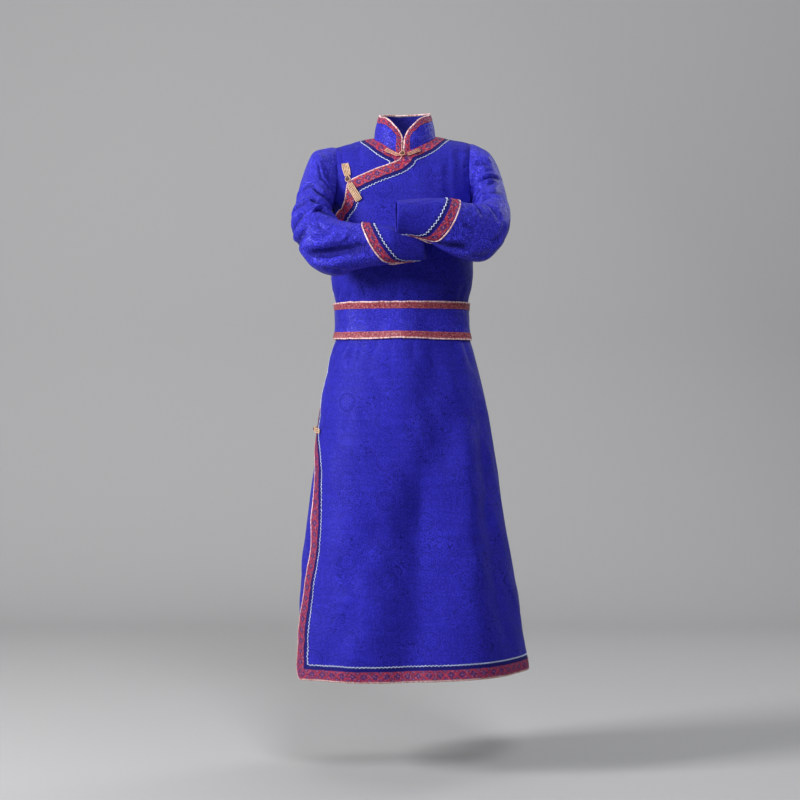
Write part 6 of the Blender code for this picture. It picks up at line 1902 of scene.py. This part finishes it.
ribbon_line = parallel(edge, COLLAR_RIBBON, 0.004, outline)
pts = grid_points(outline, [ribbon_line], 0.0045 * FINE, np.arange(0.003, 0.08, 0.0040 * FINE), 0.0022)
xs = pts[:, 0]
more = grid_points(outline - [0.55, 0], [ribbon_line - [0.55, 0]], 0.0045 * FINE, np.arange(0.003, 0.08, 0.0040 * FINE), 0.0022) + [0.55, 0]
pts = more if len(more) > len(pts) else pts
xy, tri = cdt(outline, [ribbon_line], pts)
p, n = col.at(xy)
away, along = (v for v in distance(xy, edge))
collar = wall("cloth_collar", p, p - n * CLOTH, tri, {"cloth": xy + [0.02, 0.5], "trim": np.stack([along, away], -1)},
              ["silk_plain", "silk_back"])
stand_for(collar, "silk_jacquard", "collar")
sheet("collar", collar, flat=(round(col.length, 3), round(float(col.high.max()) + 0.002, 3)), held="stretched", rests_on=["back"],
         area=round(cut_area(outline), 5))
used, faces = parts_of(xy, tri, distance(xy[tri].mean(1), edge)[0] < COLLAR_RIBBON)
uv = np.stack([along, away * 22 / 12.5], -1)[used]
strip = wall("ribbon_on_collar", p[used] + n[used] * (SEAM + RIBBON), p[used] + n[used] * SEAM, faces, {"trim": uv}, ["ribbon"])
stand_for(strip, "ribbon", "ribbon_collar")
path = outward(edge, -GAP * 1.15)
path[0] = (edge[0][0] - GAP * 1.3, 0.0012)
path[-1] = (edge[-1][0] + GAP * 1.3, 0.0012)
stand_for(sewn_on("collar", tube("cord_on_collar", col.at(path, -CLOTH / 2)[0], PIPING_R, "satin")), "satin_piping", "piping_collar")


# belt
def belt_out(side, x):
    if side == "f":
        return BELT_EASE + over(x, 0.5) + 0.0022 * step(-0.10, -0.14, x)
    return BELT_EASE + (LAP + 0.0022) * step(-0.11, -0.168, x)


levels = np.concatenate([np.linspace(BELT_TOP, BELT_TOP - BELT_RIBBON, 5), np.linspace(BELT_TOP - BELT_RIBBON, BELT_LOW + BELT_RIBBON, 16)[1:-1],
                         np.linspace(BELT_LOW + BELT_RIBBON, BELT_LOW, 5)])
rings = [waist_ring(front, back, z, int(110 / FINE), belt_out) for z in levels]
p, n = np.stack([r[0] for r in rings]), np.stack([r[1] for r in rings])
n[..., 2] = 0
n = unit(n)
cols = p.shape[1]
polys, vert_of = grid_polys(len(levels), cols, True)
step_len = np.linalg.norm(np.diff(np.concatenate([p[8], p[8][:1]]), axis=0), axis=1)
run = np.concatenate([[0], np.cumsum(step_len)])
z_of = levels[:, None] + 0 * run[None]
uv = np.stack([run[None] + 0 * z_of, z_of], -1).reshape(-1, 2)
soft = 0.0006 * np.sin(run[:-1] * 21 + 1)[None] * np.sin((levels - BELT_LOW) / (BELT_TOP - BELT_LOW) * math.pi)[:, None]
face = p + n * (BELT_THICK + soft[..., None])
belt = wall("cloth_belt", face.reshape(-1, 3), (p + n * soft[..., None] * 0.5).reshape(-1, 3), polys, {"cloth": uv}, ["belt_silk", "silk_back"], vert_of)
stand_for(belt, "belt_silk", "belt")
sheet("belt", belt, flat=(round(float(run[-1]), 3), round(BELT_TOP - BELT_LOW, 4)), held="stretched", rests_on=["front_outer", "back"])
for name, rows, edge_row, up in (("top", slice(0, 5), 0, 1), ("bottom", slice(len(levels) - 5, len(levels)), len(levels) - 1, -1)):
    q, m = face[rows], n[rows]
    polys, vert_of = grid_polys(5, cols, True)
    d = np.abs(levels[rows] - levels[edge_row])
    uv = np.stack([run[None] + 0 * d[:, None], d[:, None] + 0 * run[None]], -1).reshape(-1, 2)
    strip = wall(f"ribbon_on_belt_{name}", (q + m * (SEAM + RIBBON)).reshape(-1, 3), (q + m * SEAM).reshape(-1, 3), polys, {"trim": uv}, ["belt_ribbon"], vert_of)
    stand_for(strip, "belt_ribbon", f"ribbon_belt_{name}")
    line = face[edge_row] + np.array([0, 0, up * GAP])
    stand_for(sewn_on("belt", tube(f"cord_on_belt_{name}", line, PIPING_R, "satin", ring=True)), "satin_piping", f"piping_belt_{name}")


# toggles: a tab of four cords side by side, a loop of the same cord, and a knot
def on_front(points, lift):
    return front.at(points, np.asarray(lift) * 0.001)[0]


def tab_piece(name, node, row, slot, look, loop_to=None):
    a, b = np.array([row["from_x"], row["from_y"]]), np.array([row["to_x"], row["to_y"]])
    along, across = unit(b - a), unit(np.array([-(b - a)[1], (b - a)[0]]))
    length, wide = float(np.linalg.norm(b - a)), row["wide"] * 0.001
    made = []
    count = 5 if wide > 0.015 else 3
    r = wide / count / 2 * 0.70
    narrow_at_start = loop_to is None
    strands = [((k - (count - 1) / 2) / ((count - 1) / 2), r, look, 0.0) for k in range(count)]
    # thin dark cords sunk in the grooves between the cords: painted shade, standing in for the shadow down between them
    strands += [((k - (count - 2) / 2) / ((count - 1) / 2), r * 0.70, "gap", -0.30) for k in range(count - 1)]
    for k, (side, thick, cord, down) in enumerate(strands):
        t = np.linspace(0, 1, int(length / (0.0008 * FINE)))
        fan = smooth([0, 0.25, 0.6, 1.0], [0.78, 0.92, 1.0, 0.96], t if narrow_at_start else 1 - t)
        line = a + along * (t * length)[:, None] + across * (side * (wide / 2 - r) * fan)[:, None]
        lift = row["lift"] + r * 1000 * (0.92 + 0.08 * fan) + 0.15 + 0.25 * np.sin(t * 9 + k) + down
        radius = thick * (0.72 + 0.28 * fan)
        radius[:3] *= np.array([0.7, 0.88, 0.97])
        radius[-3:] *= np.array([0.97, 0.88, 0.7])
        made.append(tube(f"{name}_{k}", on_front(line, lift), radius, cord, sides=12, twist=0.0048, ply=0.08))
    if loop_to is not None:
        c = np.array([loop_to["x"], loop_to["y"]])
        end = b if np.linalg.norm(b - c) < np.linalg.norm(a - c) else a
        toward = unit(c - end)
        sidew = np.array([-toward[1], toward[0]])
        rr = loop_to["radius"] * 0.001 + 0.0016
        phi = np.linspace(-2.55, 2.55, 60)
        loop = c + toward * (np.cos(phi) * rr)[:, None] + sidew * (np.sin(phi) * rr)[:, None]
        start, stop = end + sidew * -0.0022, end + sidew * 0.0022
        t = np.linspace(0, 1, 14)[1:-1, None]
        line = np.concatenate([start[None], start + (loop[0] - start) * t, loop, loop[-1] + (stop - loop[-1]) * t, stop[None]])
        for _ in range(6):
            line[1:-1] = (line[:-2] + 2 * line[1:-1] + line[2:]) / 4
        from_end = np.linalg.norm(line - end, axis=1)
        lift = row["lift"] + 1.4 + (loop_to["lift"] - 2.2 - row["lift"]) * step(0.0, 0.009, from_end)
        made.append(tube(f"{name}_loop", on_front(line, lift), 0.0012, look, sides=10, twist=0.0036, ply=0.06))
    return stand_for(join(name, made), slot, node)


tabs = {r["name"]: r for r in table(TABS)}
knots = {r["name"]: r for r in table(KNOTS)}
for place in ("neck", "chest", "hip"):
    knot = knots[f"toggle_{place}_knot"]
    cord_look = "copper" if place == "neck" else "gold"
    tab_piece(f"tab_with_loop_{place}", f"toggle_{place}_loop", tabs[f"toggle_{place}_loop"], "toggle_cord", cord_look, knot)
    tab_piece(f"tab_{place}", f"toggle_{place}_tab", tabs[f"toggle_{place}_tab"], "toggle_cord", cord_look)
    c, out = front.at([(knot["x"], knot["y"])], knot["lift"] * 0.001)
    c, out = c[0], out[0]
    e1 = unit(np.cross(out, [0, 0, 1.0]))
    e3 = np.cross(e1, out)
    r = knot["radius"] * 0.001
    # a woven ball: one cord that winds over and under itself
    t = np.linspace(0, 2 * math.pi, int(420 / FINE) + 1)[:-1]
    lat = 0.95 * np.sin(3 * t + 0.2)
    lon = 2 * t + 0.5 * np.sin(6 * t)
    rr = (r - 0.00105) * (1 + 0.10 * np.cos(6 * t * 1.0 + 0.6))
    ball = c + rr[:, None] * (np.cos(lat) * np.cos(lon))[:, None] * e1 + rr[:, None] * (np.cos(lat) * np.sin(lon))[:, None] * e3 + rr[:, None] * np.sin(lat)[:, None] * out
    wound = tube(f"knot_{place}_cord", ball, 0.00115, "knot", ring=True, sides=10)
    t = np.linspace(0, 2 * math.pi, 120)[:-1]
    core_line = c + 0.0012 * (np.cos(t)[:, None] * e1 + np.sin(t)[:, None] * e3)
    core = tube(f"knot_{place}_core", core_line, 0.0019, "knot", ring=True, sides=10)
    stand_for(join(f"knot_{place}", [wound, core]), "toggle_button", f"toggle_{place}_knot")



# ---------------------------------------------------------------- stage and lights
FLOOR, BACKDROP = (0.390, 0.390, 0.396), (0.402, 0.402, 0.413)


def stage_sweep():
    """A pale floor that curves up into a plain backdrop."""
    floor, depth, radius, high = -1.49, 2.6, 1.2, 4.0
    a = np.linspace(0, math.pi / 2, 25)
    prof = [(-6.0, floor), *((y, floor) for y in np.linspace(0.8, depth, 13))]
    prof += [(depth + radius * math.sin(t), floor + radius * (1 - math.cos(t))) for t in a[1:]]
    prof += [(depth + radius, high)]
    verts = [(x, y, z) for (y, z) in prof for x in (-9.0, 9.0)]
    faces = [(2 * i, 2 * i + 1, 2 * i + 3, 2 * i + 2) for i in range(len(prof) - 1)]
    mesh = bpy.data.meshes.new("floor")
    mesh.from_pydata(verts, [], faces)
    mesh.shade_smooth()
    along = mesh.uv_layers.new(name="along").data
    for loop in mesh.loops:                             # 0 on the floor, 1 on the backdrop
        y = verts[loop.vertex_index][1]
        along[loop.index].uv = (float(step(0.9, depth + 0.9, y)), 0.0)
    look = bpy.data.materials.new("pale_floor")
    look.use_nodes = True
    shader = look.node_tree.nodes["Principled BSDF"]
    uv = look.node_tree.nodes.new("ShaderNodeUVMap")
    uv.uv_map = "along"
    ramp = look.node_tree.nodes.new("ShaderNodeValToRGB")
    ramp.color_ramp.elements[0].color, ramp.color_ramp.elements[1].color = (*FLOOR, 1), (*BACKDROP, 1)
    look.node_tree.links.new(uv.outputs[0], ramp.inputs[0])
    look.node_tree.links.new(ramp.outputs[0], shader.inputs["Base Color"])
    shader.inputs["Roughness"].default_value = 0.85
    mesh.materials.append(look)
    obj = bpy.data.objects.new("floor", mesh)
    bpy.context.scene.collection.objects.link(obj)


def light(name, place, target, size, power, colour=(1, 1, 1)):
    data = bpy.data.lights.new(name, "AREA")
    data.shape, data.size, data.size_y = "RECTANGLE", size[0], size[1]
    data.energy, data.color = power, colour
    obj = bpy.data.objects.new(name, data)
    obj.location = place
    obj.rotation_euler = (Vector(target) - Vector(place)).to_track_quat("-Z", "Y").to_euler()
    bpy.context.scene.collection.objects.link(obj)


stage_sweep()
light("key", (-4.1, -1.8, 1.25), (0, 0, -0.62), (1.3, 1.8), 320, (1.0, 0.985, 0.97))
light("fill", (0.7, -3.75, 2.3), (0, 0, -0.4), (1.3, 1.3), 132, (0.96, 0.98, 1.0))
light("top", (-0.2, 0.6, 2.8), (0, 0, -0.4), (2.8, 2.2), 30)
light("rim", (2.2, 1.8, 1.2), (0, 0, -0.5), (1.2, 1.6), 22)
light("backdrop", (2.4, 1.3, 3.2), (2.0, 3.9, -0.9), (3.0, 1.0), 22)
world = bpy.data.worlds.new("studio")
world.use_nodes = True
world.node_tree.nodes["Background"].inputs["Color"].default_value = (0.75, 0.77, 0.80, 1)
world.node_tree.nodes["Background"].inputs["Strength"].default_value = 0.12
bpy.context.scene.world = world
bpy.context.scene.view_settings.view_transform = "Standard"
bpy.context.scene.view_settings.look = "None"
